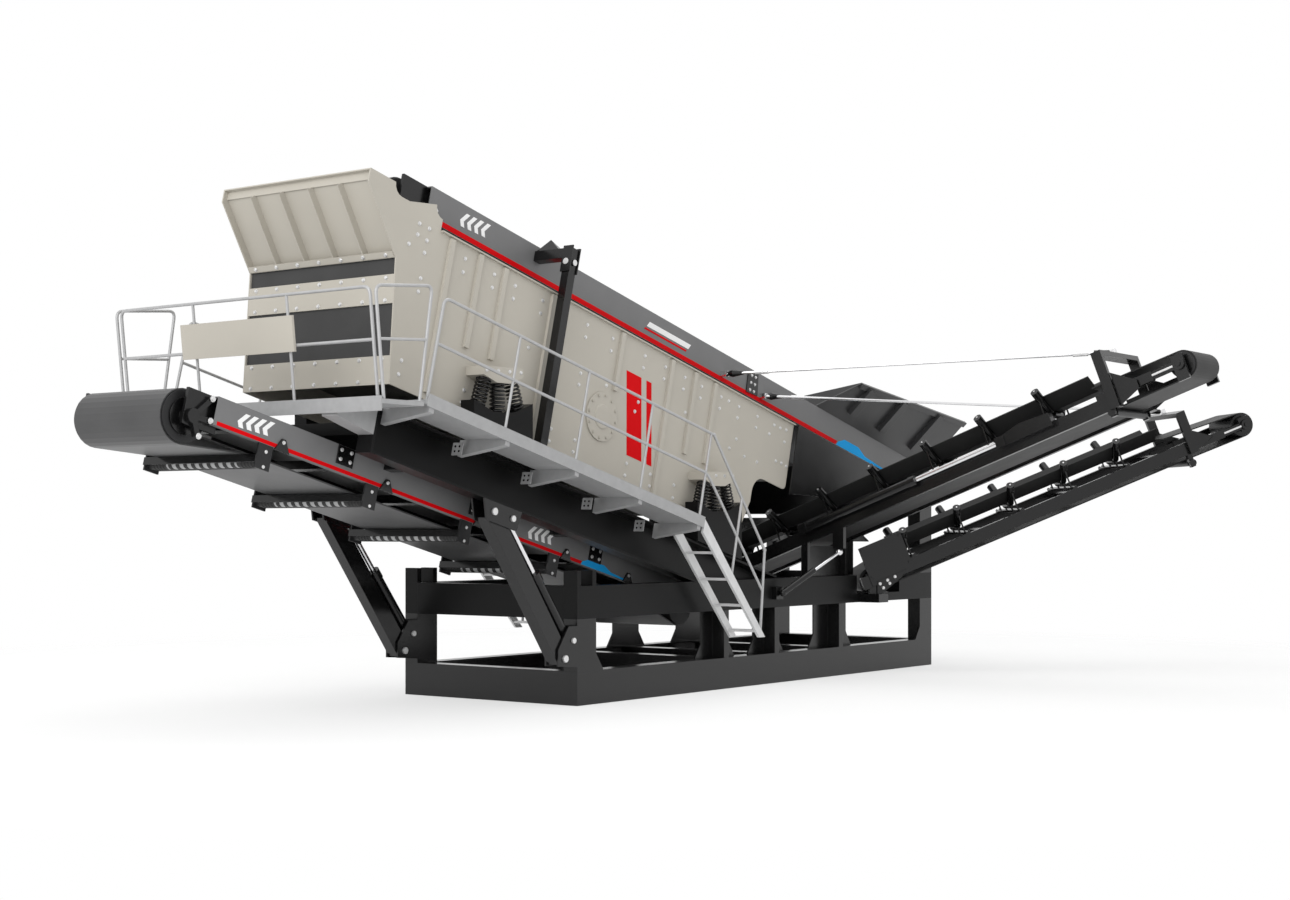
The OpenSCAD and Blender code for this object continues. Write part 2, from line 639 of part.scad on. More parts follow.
// Fines conveyor
fines_belt_w = fines_w - 2 * fines_belt_room;
fines_mid_n = fines_n + fines_h - fines_drum_r + 10;
fines_back = fines_n - 95 - fines_mid_n;
fines_panel_s = [fines_head_s + 190, fines_tail_s + 150];
module fines_panels() color(grey) slope() channel(fines_panel_s, fines_w, fines_n, fines_h);
fines_cross_count = 6;
module fines_cross_members() color(black) slope() {
  for (i = [0:fines_cross_count - 1]) {
    s = fines_panel_s[0] + 400 + i * 1200;
    block([s, s + feed_cross_d], [-fines_w / 2 + panel_t, fines_w / 2 - panel_t],
      [fines_n + fines_h / 2 - feed_cross_d / 2, fines_n + fines_h / 2 + feed_cross_d / 2]);
  }
  bearing_plates([fines_head_s - 80, fines_panel_s[0] + 80], fines_w,
    [fines_mid_n - 80, fines_n + fines_h]);
  bearing_plates([fines_tail_s - 80, fines_tail_s + 80], fines_w, [fines_mid_n - 80, fines_n + fines_h]);
  both_sides() for (s = fines_hanger_s) block([s, s + 100], [fines_w / 2, beam_y],
    [-chassis_h + 20, -chassis_h + 80]);
}
fines_hanger_s = [-5900, -3500];
module fines_belt() color(rubber) slope()
  belt(fines_head_s, fines_tail_s, fines_mid_n, fines_drum_r, fines_belt_w,
    [fines_head_s + 500, fines_tail_s - 500, fines_drum_r],
      [return_s[0] - 30, fines_tail_s - 800, fines_back]);
module fines_drums() color(black) slope() for (s = [fines_head_s, fines_tail_s]) {
  roller(s, fines_mid_n, 2 * (fines_drum_r - belt_t - drum_gap), fines_belt_w + 40);
  roller(s, fines_mid_n, 100, fines_w - 2 * panel_flange - 2 * bearing_t);
}

return_s = [-7300, -6010, -4720, -3380];
return_d = 100;
return_n = fines_mid_n + fines_back - return_d / 2 - drum_gap;
hanger_t = 20;
module return_rollers() color(black) slope() for (s = return_s) {
  roller(s, return_n, return_d, fines_w - 2 * hanger_t);
  both_sides() block([s - 70, s + 90], [fines_w / 2 - hanger_t, fines_w / 2],
    [return_n - 70, fines_n - seat_gap]);
  block([s + 70, s + 90], [-fines_w / 2 + hanger_t, fines_w / 2 - hanger_t],
    [return_n - 40, return_n + 40]);
}

// Outlet conveyors: x runs up the conveyor from the tail drum's centre
tail_pos = [2161, -1007, 1106];
module side_conveyor() translate([side_x, side_tail_y, side_tail_z]) rotate([0, 0, -90])
  rotate([0, -side_rise, 0]) children();
module tail_conveyor() translate(tail_pos) rotate([0, 0, -tail_swing]) rotate([0, -tail_rise, 0])
  children();
function side_point(x, y, z) = [side_x + y, side_tail_y - x * cos(side_rise) + z * sin(side_rise),
  side_tail_z + x * sin(side_rise) + z * cos(side_rise)];
function tail_point(x, y, z) = let (u = x * cos(tail_rise) - z * sin(tail_rise))
  tail_pos + [u * cos(tail_swing) + y * sin(tail_swing), y * cos(tail_swing) - u * sin(tail_swing),
  x * sin(tail_rise) + z * cos(tail_rise)];

stringer_w = 60;
stringer_end = 150;
side_low = -172;
tail_low = -70;
side_carry = 165;
tail_carry = 215;
tail_back = -140;
outlet_head = 700;
bearing_y = outlet_w / 2 - stringer_w - 10;
arm_h = 80;
frame_cross_pitch = 1200;
// Two stringers from z = low, thinner arms and bearing plates at the head, cross bars and snub hangers
module outlet_frame(length, low, back) {
  both_sides() {
    block([-stringer_end, length - outlet_head], [outlet_w / 2 - stringer_w, outlet_w / 2],
      [low, low + stringer_h]);
    block([length - outlet_head - 250, length + 30], [bearing_y, bearing_y + 40],
      [-arm_h / 2, arm_h / 2]);
    for (x = [0, length]) block([x - 70, x + 60], [bearing_y, bearing_y + 40], [low, 100]);
    block([length - outlet_head - 150, length - outlet_head - 90],
      [outlet_w / 2 - stringer_w, outlet_w / 2], [back - 90, low + 1]);
  }
  for (x = [300:frame_cross_pitch:length - outlet_head - 200])
    block([x, x + 60], [-outlet_w / 2 + 1, outlet_w / 2 - 1], [low + 50, low + 110]);
}
module side_frame() color(black) side_conveyor() outlet_frame(side_l, side_low, -outlet_drum_r);
// Square cover plate on the near stringer's low end of the tail conveyor
cover_x = [-50, 500];
cover_z = [-60, 420];
module tail_frame() color(black) tail_conveyor() {
  outlet_frame(tail_l, tail_low, tail_back);
  block(cover_x, [-outlet_w / 2 - beam_t, -outlet_w / 2 + 1], cover_z);
}

// Belt that is flat on the drums and troughed between them
trough_half = 100;
trough_wing = 220;
trough_angle = 45;
wing_end = 20;
wing_root = 3;
module trough_belt(length, carry, back) {
  x = [450, length - outlet_head - 300];
  difference() {
    belt(0, length, 0, outlet_drum_r, outlet_belt_w, [x[0], x[1], carry],
      [300, length - outlet_head - 100, back]);
    both_sides() block(x, [trough_half, outlet_belt_w], [outlet_drum_r / 2, carry + 1]);
  }
  both_sides() translate([x[0] + wing_end, trough_half - wing_root, carry - belt_t - wing_root])
    rotate([trough_angle, 0, 0]) cube([x[1] - x[0] - 2 * wing_end, trough_wing, belt_t]);
}
module side_belt() color(rubber) side_conveyor() trough_belt(side_l, side_carry, -outlet_drum_r);
module tail_belt() color(rubber) tail_conveyor() trough_belt(tail_l, tail_carry, tail_back);
snub_d = 80;
module drum_pair(length, back) {
  for (x = [0, length]) {
    roller(x, 0, 2 * (outlet_drum_r - belt_t - drum_gap), outlet_belt_w + 20);
    roller(x, 0, 60, 2 * bearing_y);
  }
  roller(length - outlet_head - 120, back - snub_d / 2 - drum_gap, snub_d, outlet_w - 2 * stringer_w);
}
module outlet_drums() color(black) {
  side_conveyor() drum_pair(side_l, -outlet_drum_r);
  tail_conveyor() drum_pair(tail_l, tail_back);
}

// Idler: a bar on the stringers with a level roller and two leaning rollers under the belt
idler_d = 76;
idler_l = 300;
idler_start = 15;
function wing_point(f, carry) = let (a = trough_angle, c = idler_d / 2 + drum_gap)
  [0, trough_half + f * cos(a) + c * sin(a), carry - belt_t + f * sin(a) - c * cos(a)];
module idler(low, carry) {
  top = low + stringer_h;
  outer = wing_point(idler_l - 25, carry);
  block([-30, 30], [-outlet_w / 2, outlet_w / 2], [top, top + 25]);
  roller(0, carry - belt_t - drum_gap - idler_d / 2, idler_d, 2 * trough_half - 10);
  both_sides() {
    rod(wing_point(idler_start, carry), wing_point(idler_l, carry), idler_d);
    block([-8, 8], [trough_half - 6, trough_half + 24], [top + 24, carry - belt_t - idler_d / 2]);
    block([-8, 8], [outer[1] - 8, outer[1] + 8], [top + 24, outer[2]]);
  }
}
module idlers(length, low, carry) for (x = [560:idler_pitch:length - outlet_head - 350])
  translate([x, 0, 0]) idler(low, carry);
module outlet_idlers() color(black) {
  side_conveyor() idlers(side_l, side_low, side_carry);
  tail_conveyor() idlers(tail_l, tail_low, tail_carry);
}

bridle_z = 460;
bridle_w = 110;
bridle_back = 815;
module bridle_posts(length, low) both_sides() block([length - bridle_back,
  length - bridle_back + bridle_w],
  [outlet_w / 2, outlet_w / 2 + bridle_w / 2], [low, bridle_z]);
module bridle_bar(length) block([length - bridle_back, length - bridle_back + bridle_w],
  [-outlet_w / 2, outlet_w / 2], [bridle_z - bridle_w / 2, bridle_z]);
module outlet_bridles() color(black) {
  side_conveyor() bridle_posts(side_l, side_low);
  tail_conveyor() bridle_posts(tail_l, tail_low);
}
module bridle_bars() color(black) {
  side_conveyor() bridle_bar(side_l);
  tail_conveyor() bridle_bar(tail_l);
}

// Uprights under the outlet conveyors and chute, cut off under the stringers
support_w = 80;
support_y = [-half_w + 40, -half_w + 40 + support_w];
module under_side_frame() difference() {
  children();
  side_conveyor() block([-outlet_w, side_l], [-outlet_w, outlet_w], [side_low - seat_gap, 4 * skid_top]);
}
module under_tail_frame() difference() {
  children();
  tail_conveyor() block([-outlet_w, tail_l], [-outlet_w, outlet_w], [tail_low - seat_gap, 4 * skid_top]);
}
tail_pad_x = [2770, 2880];
tail_arm_x = [1780, 2000];
tail_arm_y = -1420;
module outlet_supports() color(black) {
  under_side_frame() for (x = [side_x - outlet_w / 2, side_x + outlet_w / 2 - stringer_w])
    block([x, x + stringer_w], support_y, [skid_top, 2 * skid_top]);
  under_tail_frame() {
    block(tail_pad_x, support_y, [skid_top, 2 * skid_top]);
    translate([tail_pos[0], tail_pos[1], upper_z + low_beam_h]) rotate([0, 0, -tail_swing])
      block([-60, 80], [-outlet_w / 2, -outlet_w / 2 + stringer_w], [0, skid_top]);
  }
  block(tail_arm_x, [tail_arm_y, -half_w], [upper_z, upper_z + low_beam_h]);
  // Clevis on the skid and bracket under the stringer for the lift cylinder
  block([lift_foot[0] - lift_d, lift_foot[0] + lift_d],
    [lift_foot[1] + lift_eye_d / 2 + drum_gap, -half_w],
    [lift_foot[2] - lift_d, lift_foot[2] + lift_d]);
  under_side_frame() block([side_x - outlet_w / 2, side_x - outlet_w / 2 + stringer_w],
    [lift_top[1] - lift_d, lift_top[1] + lift_d],
      [lift_top[2] + lift_eye_d / 2 + drum_gap, 2 * lift_top[2]]);
  // Lugs of the fold cylinder on the side conveyor's near stringer
  side_conveyor() for (x = fold_x) block([x - fold_d / 2, x + fold_d / 2],
    [-outlet_w / 2 - fold_d, -outlet_w / 2 - seat_gap],
    [side_low + stringer_h - fold_d / 2, side_low + stringer_h + fold_d / 2]);
}

// Fold cylinder along the side conveyor
fold_d = 110;
fold_x = [1750, 4400];
fold_y = -outlet_w / 2 - fold_d / 2;
fold_share = 0.58;
fold_z = side_low + stringer_h;
fold_end = [fold_x[0] + fold_d / 2 + seat_gap, fold_x[1] - fold_d / 2 - seat_gap];
fold_mid = fold_end[0] + fold_share * (fold_end[1] - fold_end[0]);
module fold_barrel() side_conveyor() translate([fold_end[0], fold_y, fold_z]) rotate([0, 90, 0])
  cylinder(d = fold_d - 10, h = fold_mid - fold_end[0]);
module fold_rod() side_conveyor() translate([fold_mid, fold_y, fold_z]) rotate([0, 90, 0])
  cylinder(d = fold_d / 2, h = fold_end[1] - fold_mid);

lift_d = 70;
lift_eye_d = 80;
lift_foot = [-40, -half_w - 100, 1004];
lift_top = [side_x - outlet_w / 2 + stringer_w / 2, -1507, 1455];

// Stays between lugs on the feed conveyor and lugs on the bridles
stay_d = 30;
stay_lug = 60;
module stay(panel_point, bridle_point) {
  rod(panel_point - [0, stay_lug, 0], bridle_point, stay_d);
  translate(panel_point + [-stay_lug / 2, -stay_lug - stay_d / 2, -stay_lug / 2])
    cube([stay_lug, stay_lug + stay_d / 2, stay_lug]);
}
module bridle_lug(length) translate([length - bridle_back + bridle_w / 2, 0, bridle_z + seat_gap])
  translate([-stay_lug / 2, -stay_lug / 2, 0]) cube(stay_lug);
module stay_rods() color(bright) {
  stay([-390, -feed_w / 2, 3446], side_point(side_l - bridle_back + bridle_w / 2, 0,
    bridle_z + stay_lug / 2));
  side_conveyor() bridle_lug(side_l);
  stay([400, -feed_w / 2, 3240], tail_point(tail_l - bridle_back + bridle_w / 2, 0,
    bridle_z + stay_lug / 2));
  tail_conveyor() bridle_lug(tail_l);
}

// Walkways
walk_y = [1205, walk_w / 2 - 14];
walk_s = [-6480, -2280];
walk_t = 40;
bracket_count = 5;
module walkway_decks() color(galvanised) slope() both_sides() block(walk_s, walk_y, [0, walk_t]);
module toe_plates() color(galvanised) slope() both_sides()
  block(walk_s, [walk_y[1], walk_w / 2], [-20, toe_h - 20]);
module cantilevers() slope() both_sides() for (i = [0:bracket_count - 1]) {
  s = walk_s[0] + 40 + i * (walk_s[1] - walk_s[0] - 140) / (bracket_count - 1);
  rotate([90, 0, 90]) translate([0, 0, s]) linear_extrude(60)
    polygon([[chassis_span / 2, 0], [walk_y[1], 0], [walk_y[1], -60], [chassis_span / 2, -150]]);
}

module walkway_brackets() color(galvanised) {
  cantilevers();
  platform_arms();
}

// Platform across the upper end, on arms from the chassis beams
platform_x = [-6830, -6312];
platform_z = 2760;
platform_t = 40;
platform_w = 3348;
arm_root = [slope_point(-chassis_reach - seat_gap, 0, -30),
  slope_point(-chassis_reach - seat_gap, 0, -260)];
module platform_arms() both_sides() side_plate([[arm_root[0][0], arm_root[0][2]],
  [arm_root[1][0], arm_root[1][2]],
  [platform_x[0] + 30, platform_z - 80], [platform_x[0] + 30, platform_z], [platform_x[1], platform_z]],
    beam_y, chassis_w);
module end_platform() color(galvanised) {
  block(platform_x, [-platform_w / 2, platform_w / 2], [platform_z, platform_z + platform_t]);
  block([platform_x[0], platform_x[0] + 14], [-platform_w / 2, platform_w / 2],
    [platform_z - 60, platform_z + 65]);
}

// Railings: posts a little thinner than the rails that they carry
rail_post_d = rail_d - 6;
rail_y = walk_w / 2 - 30 - rail_d / 2 - drum_gap;
rail_s = -6453;
rail_end = 30;
rail_mid = 0.57;
module rail(x, y, z, length) translate([x, y, z]) rotate([0, 90, 0]) cylinder(d = rail_d, h = length);
module side_railings() color(galvanised) slope() both_sides() {
  for (n = [rail_h * rail_mid, rail_h]) rail(rail_s - rail_end, rail_y, n, 4 * rail_pitch + 2 * rail_end);
  for (i = [0:4]) translate([rail_s + i * rail_pitch, rail_y, walk_t])
    cylinder(d = rail_post_d, h = rail_h - walk_t);
}

end_rail_h = 930;
end_rail_lean = 6;
end_rail_y = 1590;
end_post_y = [-end_rail_y, -600, 600, end_rail_y];
// Frame of the end railing: z runs up its leaning posts
module end_rail_frame() translate([platform_x[0] + 50, 0, platform_z + platform_t])
  rotate([0, -end_rail_lean, 0]) children();
hoop_y = platform_w / 2 - rail_d / 2;
hoop_foot = [[platform_x[0] + 50, 0], [platform_x[1] - 40, 0]];
hoop_top = [[platform_x[0] - 48, end_rail_h], [platform_x[1] + 118, end_rail_h + 60]];
module end_railings() color(galvanised) {
  difference() {
    end_rail_frame() {
      for (y = end_post_y) translate([0, y, -20]) cylinder(d = rail_post_d, h = end_rail_h + 20);
      for (z = [end_rail_h * 0.53, end_rail_h]) translate([0, end_rail_y + rail_end, z])
        rotate([90, 0, 0])
        cylinder(d = rail_d, h = 2 * end_rail_y + 2 * rail_end);
    }
    block([platform_x[0] - 500, platform_x[1]], [-walk_w, walk_w], [0, platform_z + platform_t]);
  }
  both_sides() difference() {
    for (i = [0, 1]) hoop_bar(hoop_foot[i] - [0, 30], hoop_top[i], rail_post_d);
    block([platform_x[0] - 500, platform_x[1] + 500], [-walk_w, walk_w], [0, platform_z + platform_t]);
  }
  both_sides() for (f = [0.53, 1])
    hoop_bar(hoop_foot[0] + f * (hoop_top[0] - hoop_foot[0]),
      hoop_foot[1] + f * (hoop_top[1] - hoop_foot[1]), rail_d);
}
module hoop_bar(p, q, d) rod([p[0], hoop_y, platform_z + platform_t + p[1]],
  [q[0], hoop_y, platform_z + platform_t + q[1]], d);

board_t = 25;
board_y = [-690, 740];
board_z = [440, 750];
module end_board() color(beige) end_rail_frame()
  block([-rail_d / 2 - drum_gap - board_t, -rail_d / 2 - drum_gap], board_y, board_z);

// Ladders at the low end of the walkways
ladder_t = 30;
ladder_y = [1290, walk_w / 2];
ladder_foot = [-1197, 0, 578];
ladder_head = [slope_point(walk_s[1], 0, -70), slope_point(walk_s[1], 0, 70)];
tread_w = 110;
tread_t = 25;
tread_count = 4;
module ladder_stringers() color(galvanised) both_sides() for (y = [ladder_y[0], ladder_y[1] - ladder_t])
  side_plate([[ladder_head[0][0], ladder_head[0][2]], [ladder_head[1][0], ladder_head[1][2]],
    [ladder_foot[0] + tread_w, ladder_foot[2]], [ladder_foot[0], ladder_foot[2]]], y, ladder_t);
module ladder_treads() color(galvanised) both_sides() for (i = [1:tread_count]) {
  p = ladder_head[0] + (ladder_foot - ladder_head[0]) * (i - 0.2) / tread_count;
  block([p[0], p[0] + tread_w], [ladder_y[0] + ladder_t, ladder_y[1] - ladder_t], [p[2], p[2] + tread_t]);
}
handrail_knee = [-1026, rail_y, 1495];
handrail_foot = [-1110, rail_y, 640];
knee_d = rail_d + 4;
module ladder_handrails() color(galvanised) both_sides() {
  head = slope_point(rail_s + 4 * rail_pitch + rail_end + knee_d / 2 + drum_gap, rail_y, rail_h);
  translate(head) sphere(d = knee_d);
  rod(head, handrail_knee, rail_post_d);
  translate(handrail_knee) sphere(d = knee_d);
  rod(handrail_knee, handrail_foot, rail_post_d);
}

skid_long_beams();
skid_cross_beams();
skid_posts();
skid_upper_beams();
skid_upper_cross_beams();
tall_posts();
chassis_beams();
chassis_cross_members();
spring_pedestals();
leg_struts();
leg_brackets();
cylinder_barrels();
cylinder_rods();
screen_side_plates();
screen_hood();
screen_rear_wall();
screen_curtains();
top_deck();
lower_deck();
deck_cross_tubes();
spring_brackets();
coil_springs();
exciter_covers();
exciter_tube();
discharge_chute();
fines_hopper();
feed_panels();
feed_cross_members();
feed_belt();
feed_drums();
feed_hopper();
feed_portal();
feed_transoms();
fines_panels();
fines_cross_members();
fines_belt();
fines_drums();
return_rollers();
side_frame();
side_belt();
tail_frame();
tail_belt();
outlet_drums();
outlet_idlers();
outlet_bridles();
bridle_bars();
outlet_supports();
stay_rods();
walkway_decks();
toe_plates();
walkway_brackets();
end_platform();
side_railings();
end_railings();
end_board();
ladder_stringers();
ladder_treads();
ladder_handrails();
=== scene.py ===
import json
import math
import random

import bpy
from mathutils import Matrix, Vector


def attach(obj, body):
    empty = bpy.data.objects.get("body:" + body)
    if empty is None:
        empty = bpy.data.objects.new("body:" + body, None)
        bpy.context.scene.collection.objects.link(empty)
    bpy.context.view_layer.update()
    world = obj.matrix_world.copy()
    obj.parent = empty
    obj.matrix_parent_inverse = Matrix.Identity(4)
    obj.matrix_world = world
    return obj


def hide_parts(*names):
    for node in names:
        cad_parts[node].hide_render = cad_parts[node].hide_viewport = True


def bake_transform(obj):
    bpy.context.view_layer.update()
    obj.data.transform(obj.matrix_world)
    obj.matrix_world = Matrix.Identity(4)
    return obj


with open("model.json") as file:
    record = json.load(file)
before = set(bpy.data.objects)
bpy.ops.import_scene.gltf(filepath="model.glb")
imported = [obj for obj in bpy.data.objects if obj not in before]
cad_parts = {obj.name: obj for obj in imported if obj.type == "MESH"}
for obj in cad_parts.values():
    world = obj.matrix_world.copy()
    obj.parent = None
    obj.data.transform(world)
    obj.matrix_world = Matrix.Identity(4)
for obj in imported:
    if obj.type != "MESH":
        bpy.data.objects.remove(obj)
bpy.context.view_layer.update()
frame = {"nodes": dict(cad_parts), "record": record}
nodes = frame["nodes"]
rng = random.Random(7)
scene = bpy.context.scene

# Frames, in metres: x towards the feed hopper, y to the far side, z up. In the slope frame
# s runs downhill and n is square to the chassis's top line.
INCLINE = math.radians(14.2)
CI, SI = math.cos(INCLINE), math.sin(INCLINE)
CHASSIS_Z = 1.194
BOTH_SIDES = (-1, 1)
WORLD = Matrix.Identity(4)
SLOPE = Matrix.Translation((0, 0, CHASSIS_Z)) @ Matrix.Rotation(INCLINE, 4, "Y")


def slope(s, y, n):
    """A point of the slope frame."""
    return Vector((s * CI + n * SI, y, CHASSIS_Z - s * SI + n * CI))


def conveyor_frame(drum, swing, rise):
    """Frame of an outlet conveyor: x runs up it from the centre of its tail drum, z is square to it."""
    return (Matrix.Translation(drum) @ Matrix.Rotation(swing, 4, "Z")
            @ Matrix.Rotation(-math.radians(rise), 4, "Y"))


def leaning_frame(s, n, back, high):
    """Frame on the uphill end of the screen box, leaning back by so much in its height."""
    return SLOPE @ Matrix.Translation((s, 0, n)) @ Matrix.Rotation(-math.atan2(back, high), 4, "Y")


def across(side, y0, y1):
    """Two distances from the middle plane, as a range of y on one side."""
    return tuple(sorted((side * y0, side * y1)))


SIDE = conveyor_frame((1.15, 0.55, 1.12), -math.pi / 2, 20.6)
TAIL = conveyor_frame((2.161, -1.007, 1.106), -math.pi / 4, 22)
WALL = leaning_frame(-6.242, 0.283, 0.193, 1.107)
HOOD = leaning_frame(-6.435, 1.390, 0.485, 0.527)

# Outer faces that details sit on, as distances from the middle plane
FEED_PANEL_Y, FINES_PANEL_Y = 0.66, 0.715
PLATE_Y = 0.947
LEG_Y = 1.058
SKIN = 0.0015  # thickness of painted shapes

# Spring groups
SPRINGS = (("upper_coils", -4.70), ("lower_coils", -1.17))
SPRING_Y, PEDESTAL_H, COIL_H = 1.085, 0.417, 0.27


def coil_foot(x):
    """Height of a spring group's seat on its pedestal."""
    return CHASSIS_Z - x * math.tan(INCLINE) + PEDESTAL_H


class Piece:
    """Collects boxes, bars and plates into one mesh."""

    def __init__(self, name):
        self.name, self.v, self.f, self.smooth = name, [], [], []

    def face_set(self, pts, faces, smooth=False):
        b = len(self.v)
        self.v += [tuple(p) for p in pts]
        self.f += [tuple(b + i for i in f) for f in faces]
        self.smooth += [smooth] * len(faces)

    def box(self, x, y, z, m=WORLD):
        pts = [m @ Vector((a, b, c)) for a in x for b in y for c in z]
        self.face_set(pts, [(0, 1, 3, 2), (4, 6, 7, 5), (0, 4, 5, 1), (2, 3, 7, 6), (0, 2, 6, 4), (1, 5, 7, 3)])

    def prism(self, outline, y0, y1, m=WORLD):
        """Outline in x and z, from y0 to y1."""
        k = len(outline)
        pts = [m @ Vector((a, y, c)) for y in (y0, y1) for a, c in outline]
        faces = [tuple(range(k)), tuple(range(2 * k - 1, k - 1, -1))]
        faces += [(i, k + i, k + (i + 1) % k, (i + 1) % k) for i in range(k)]
        self.face_set(pts, faces)

    def bar(self, p, q, r, sides=12, r2=None, smooth=True, turn=0.0):
        """Round or many-sided bar from p to q, tapered where r2 is given."""
        p, q = Vector(p), Vector(q)
        axis = (q - p).normalized()
        u = axis.orthogonal().normalized()
        w = axis.cross(u)
        pts = []
        for c, rad in ((p, r), (q, r if r2 is None else r2)):
            for i in range(sides):
                a = 2 * math.pi * i / sides + turn
                pts.append(c + rad * (math.cos(a) * u + math.sin(a) * w))
        faces = [(i, (i + 1) % sides, sides + (i + 1) % sides, sides + i) for i in range(sides)]
        self.face_set(pts, faces, smooth)
        self.face_set(pts[:sides], [tuple(range(sides - 1, -1, -1))])
        self.face_set(pts[sides:], [tuple(range(sides))])

    def tube(self, path, r, sides):
        """Round tube swept along a path."""
        path = [Vector(p) for p in path]
        last = len(path) - 1
        u = (path[1] - path[0]).normalized().orthogonal().normalized()
        rings = []
        for i, centre in enumerate(path):
            t = (path[min(i + 1, last)] - path[max(i - 1, 0)]).normalized()
            u = (u - t * u.dot(t)).normalized()
            w = t.cross(u)
            turns = [2 * math.pi * j / sides for j in range(sides)]
            rings.append([centre + r * (math.cos(a) * u + math.sin(a) * w) for a in turns])
        faces = []
        for i in range(last):
            for j in range(sides):
                a, b = i * sides + j, i * sides + (j + 1) % sides
                faces.append((a, b, b + sides, a + sides))
        self.face_set([p for ring in rings for p in ring], faces, True)
        self.face_set(rings[0], [tuple(range(sides - 1, -1, -1))])
        self.face_set(rings[-1], [tuple(range(sides))])

    def bolt(self, p, normal, r, h):
        """Hexagon head on a washer."""
        p, normal = Vector(p), Vector(normal).normalized()
        seat = p + normal * h * 0.25
        self.bar(p, seat, r * 1.35, 10, smooth=False)
        self.bar(seat, p + normal * h, r, 6, smooth=False, turn=rng.random())

    def on_face(self, outline, y, side, thick=SKIN):
        """Flat shape on an outer face, its outline in s and n."""
        self.prism(outline, *across(side, y, y + thick), SLOPE)

    def make(self, material, body, slot=None, replaces=()):
        """The finished object, riding on its body where one is given."""
        me = bpy.data.meshes.new(self.name)
        me.from_pydata(self.v, [], self.f)
        me.validate()
        me.update()
        if len(me.polygons) == len(self.smooth):
            me.polygons.foreach_set("use_smooth", self.smooth)
        ob = bpy.data.objects.new(self.name, me)
        scene.collection.objects.link(ob)
        me.materials.append(material)
        if body:
            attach(ob, body)
        if replaces:
            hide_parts(*replaces)
        return ob


# Materials
def new_material(name):
    m = bpy.data.materials.new(name)
    m.use_nodes = True
    return m, m.node_tree, m.node_tree.nodes["Principled BSDF"]


def noise(nt, scale, detail=4.0):
    tc = nt.nodes.new("ShaderNodeTexCoord")
    n = nt.nodes.new("ShaderNodeTexNoise")
    n.inputs["Scale"].default_value = scale
    n.inputs["Detail"].default_value = detail
    nt.links.new(tc.outputs["Object"], n.inputs["Vector"])
    return n.outputs["Fac"]


def ramp(nt, fac, c0, c1, low=0.3, high=0.7):
    r = nt.nodes.new("ShaderNodeValToRGB")
    for stop, position, colour in zip(r.color_ramp.elements, (low, high), (c0, c1)):
        stop.position = position
        stop.color = (*colour, 1)
    nt.links.new(fac, r.inputs["Fac"])
    return r.outputs["Color"]


def map_range(nt, value, to_min, to_max, from_min=0.0, from_max=1.0):
    mr = nt.nodes.new("ShaderNodeMapRange")
    for socket, number in (("From Min", from_min), ("From Max", from_max), ("To Min", to_min), ("To Max", to_max)):
        mr.inputs[socket].default_value = number
    nt.links.new(value, mr.inputs["Value"])
    return mr.outputs["Result"]


def bump(nt, fac, strength, distance=0.002, bevel=0.004):
    """Fine bump over rounded edges."""
    bv = nt.nodes.new("ShaderNodeBevel")
    bv.samples = 4
    bv.inputs["Radius"].default_value = bevel
    b = nt.nodes.new("ShaderNodeBump")
    b.inputs["Strength"].default_value = strength
    b.inputs["Distance"].default_value = distance
    nt.links.new(fac, b.inputs["Height"])
    nt.links.new(bv.outputs["Normal"], b.inputs["Normal"])
    return b.outputs["Normal"]


def surface(name, base, vary=0.12, rough=(0.35, 0.5), metal=0.0, scale=3.0, fine=90.0, strength=0.05, spec=0.5):
    """Paint, rubber or metal: colour and gloss drift over the surface, with a fine bump."""
    m, nt, bsdf = new_material(name)
    big, small = noise(nt, scale, 5.0), noise(nt, fine, 3.0)
    lo = tuple(c * (1 - vary) for c in base)
    hi = tuple(min(1.0, c * (1 + vary)) for c in base)
    nt.links.new(ramp(nt, big, lo, hi), bsdf.inputs["Base Color"])
    nt.links.new(map_range(nt, big, *rough), bsdf.inputs["Roughness"])
    nt.links.new(bump(nt, small, strength), bsdf.inputs["Normal"])
    bsdf.inputs["Metallic"].default_value = metal
    bsdf.inputs["Specular IOR Level"].default_value = spec
    return m


def rubber(name, grey, rough, spec=0.3):
    return surface(name, grey, rough=rough, fine=140.0, strength=0.1, spec=spec)


def dull_steel(name, grey, vary, rough, metal=0.25):
    return surface(name, grey, vary=vary, rough=rough, metal=metal, scale=14.0)


black = surface("black_paint", (0.0045, 0.0045, 0.0047), rough=(0.17, 0.27), spec=0.42)
satin = surface("satin_black", (0.0055, 0.0055, 0.0057), rough=(0.3, 0.42), spec=0.14)
# Black lightened to a dark grey for the feed hopper: painted sheen, standing in for reflections on its black plates
black_with_painted_sheen = surface("black_with_painted_sheen", (0.040, 0.040, 0.041), rough=(0.3, 0.4), strength=0.015)
beige = surface("beige_paint", (0.475, 0.448, 0.392), vary=0.03, rough=(0.40, 0.5), scale=1.5, spec=0.3)
panel_grey = surface("panel_grey", (0.170, 0.170, 0.172), vary=0.04, rough=(0.38, 0.48), spec=0.35)
red = surface("red_paint", (0.66, 0.003, 0.006), vary=0.05, rough=(0.4, 0.5), spec=0.04)
blue = surface("blue_paint", (0.016, 0.40, 0.90), vary=0.05, rough=(0.4, 0.5), spec=0.05)
white = surface("white_paint", (0.90, 0.90, 0.90), vary=0.02, rough=(0.4, 0.5), spec=0.3)
galvanised = dull_steel("galvanised", (0.36, 0.362, 0.365), 0.06, (0.38, 0.5))
rail_steel = dull_steel("rail_steel", (0.42, 0.422, 0.425), 0.05, (0.34, 0.46))
# A lighter copy of the rail steel for the ladder's stringers and treads: painted light on their shaded faces
painted_light_ladder_steel = dull_steel("painted_light_ladder_steel", (0.64, 0.642, 0.645), 0.05, (0.36, 0.48), 0.2)
belt_rubber = rubber("belt_rubber", (0.050, 0.050, 0.051), (0.36, 0.48), 0.45)
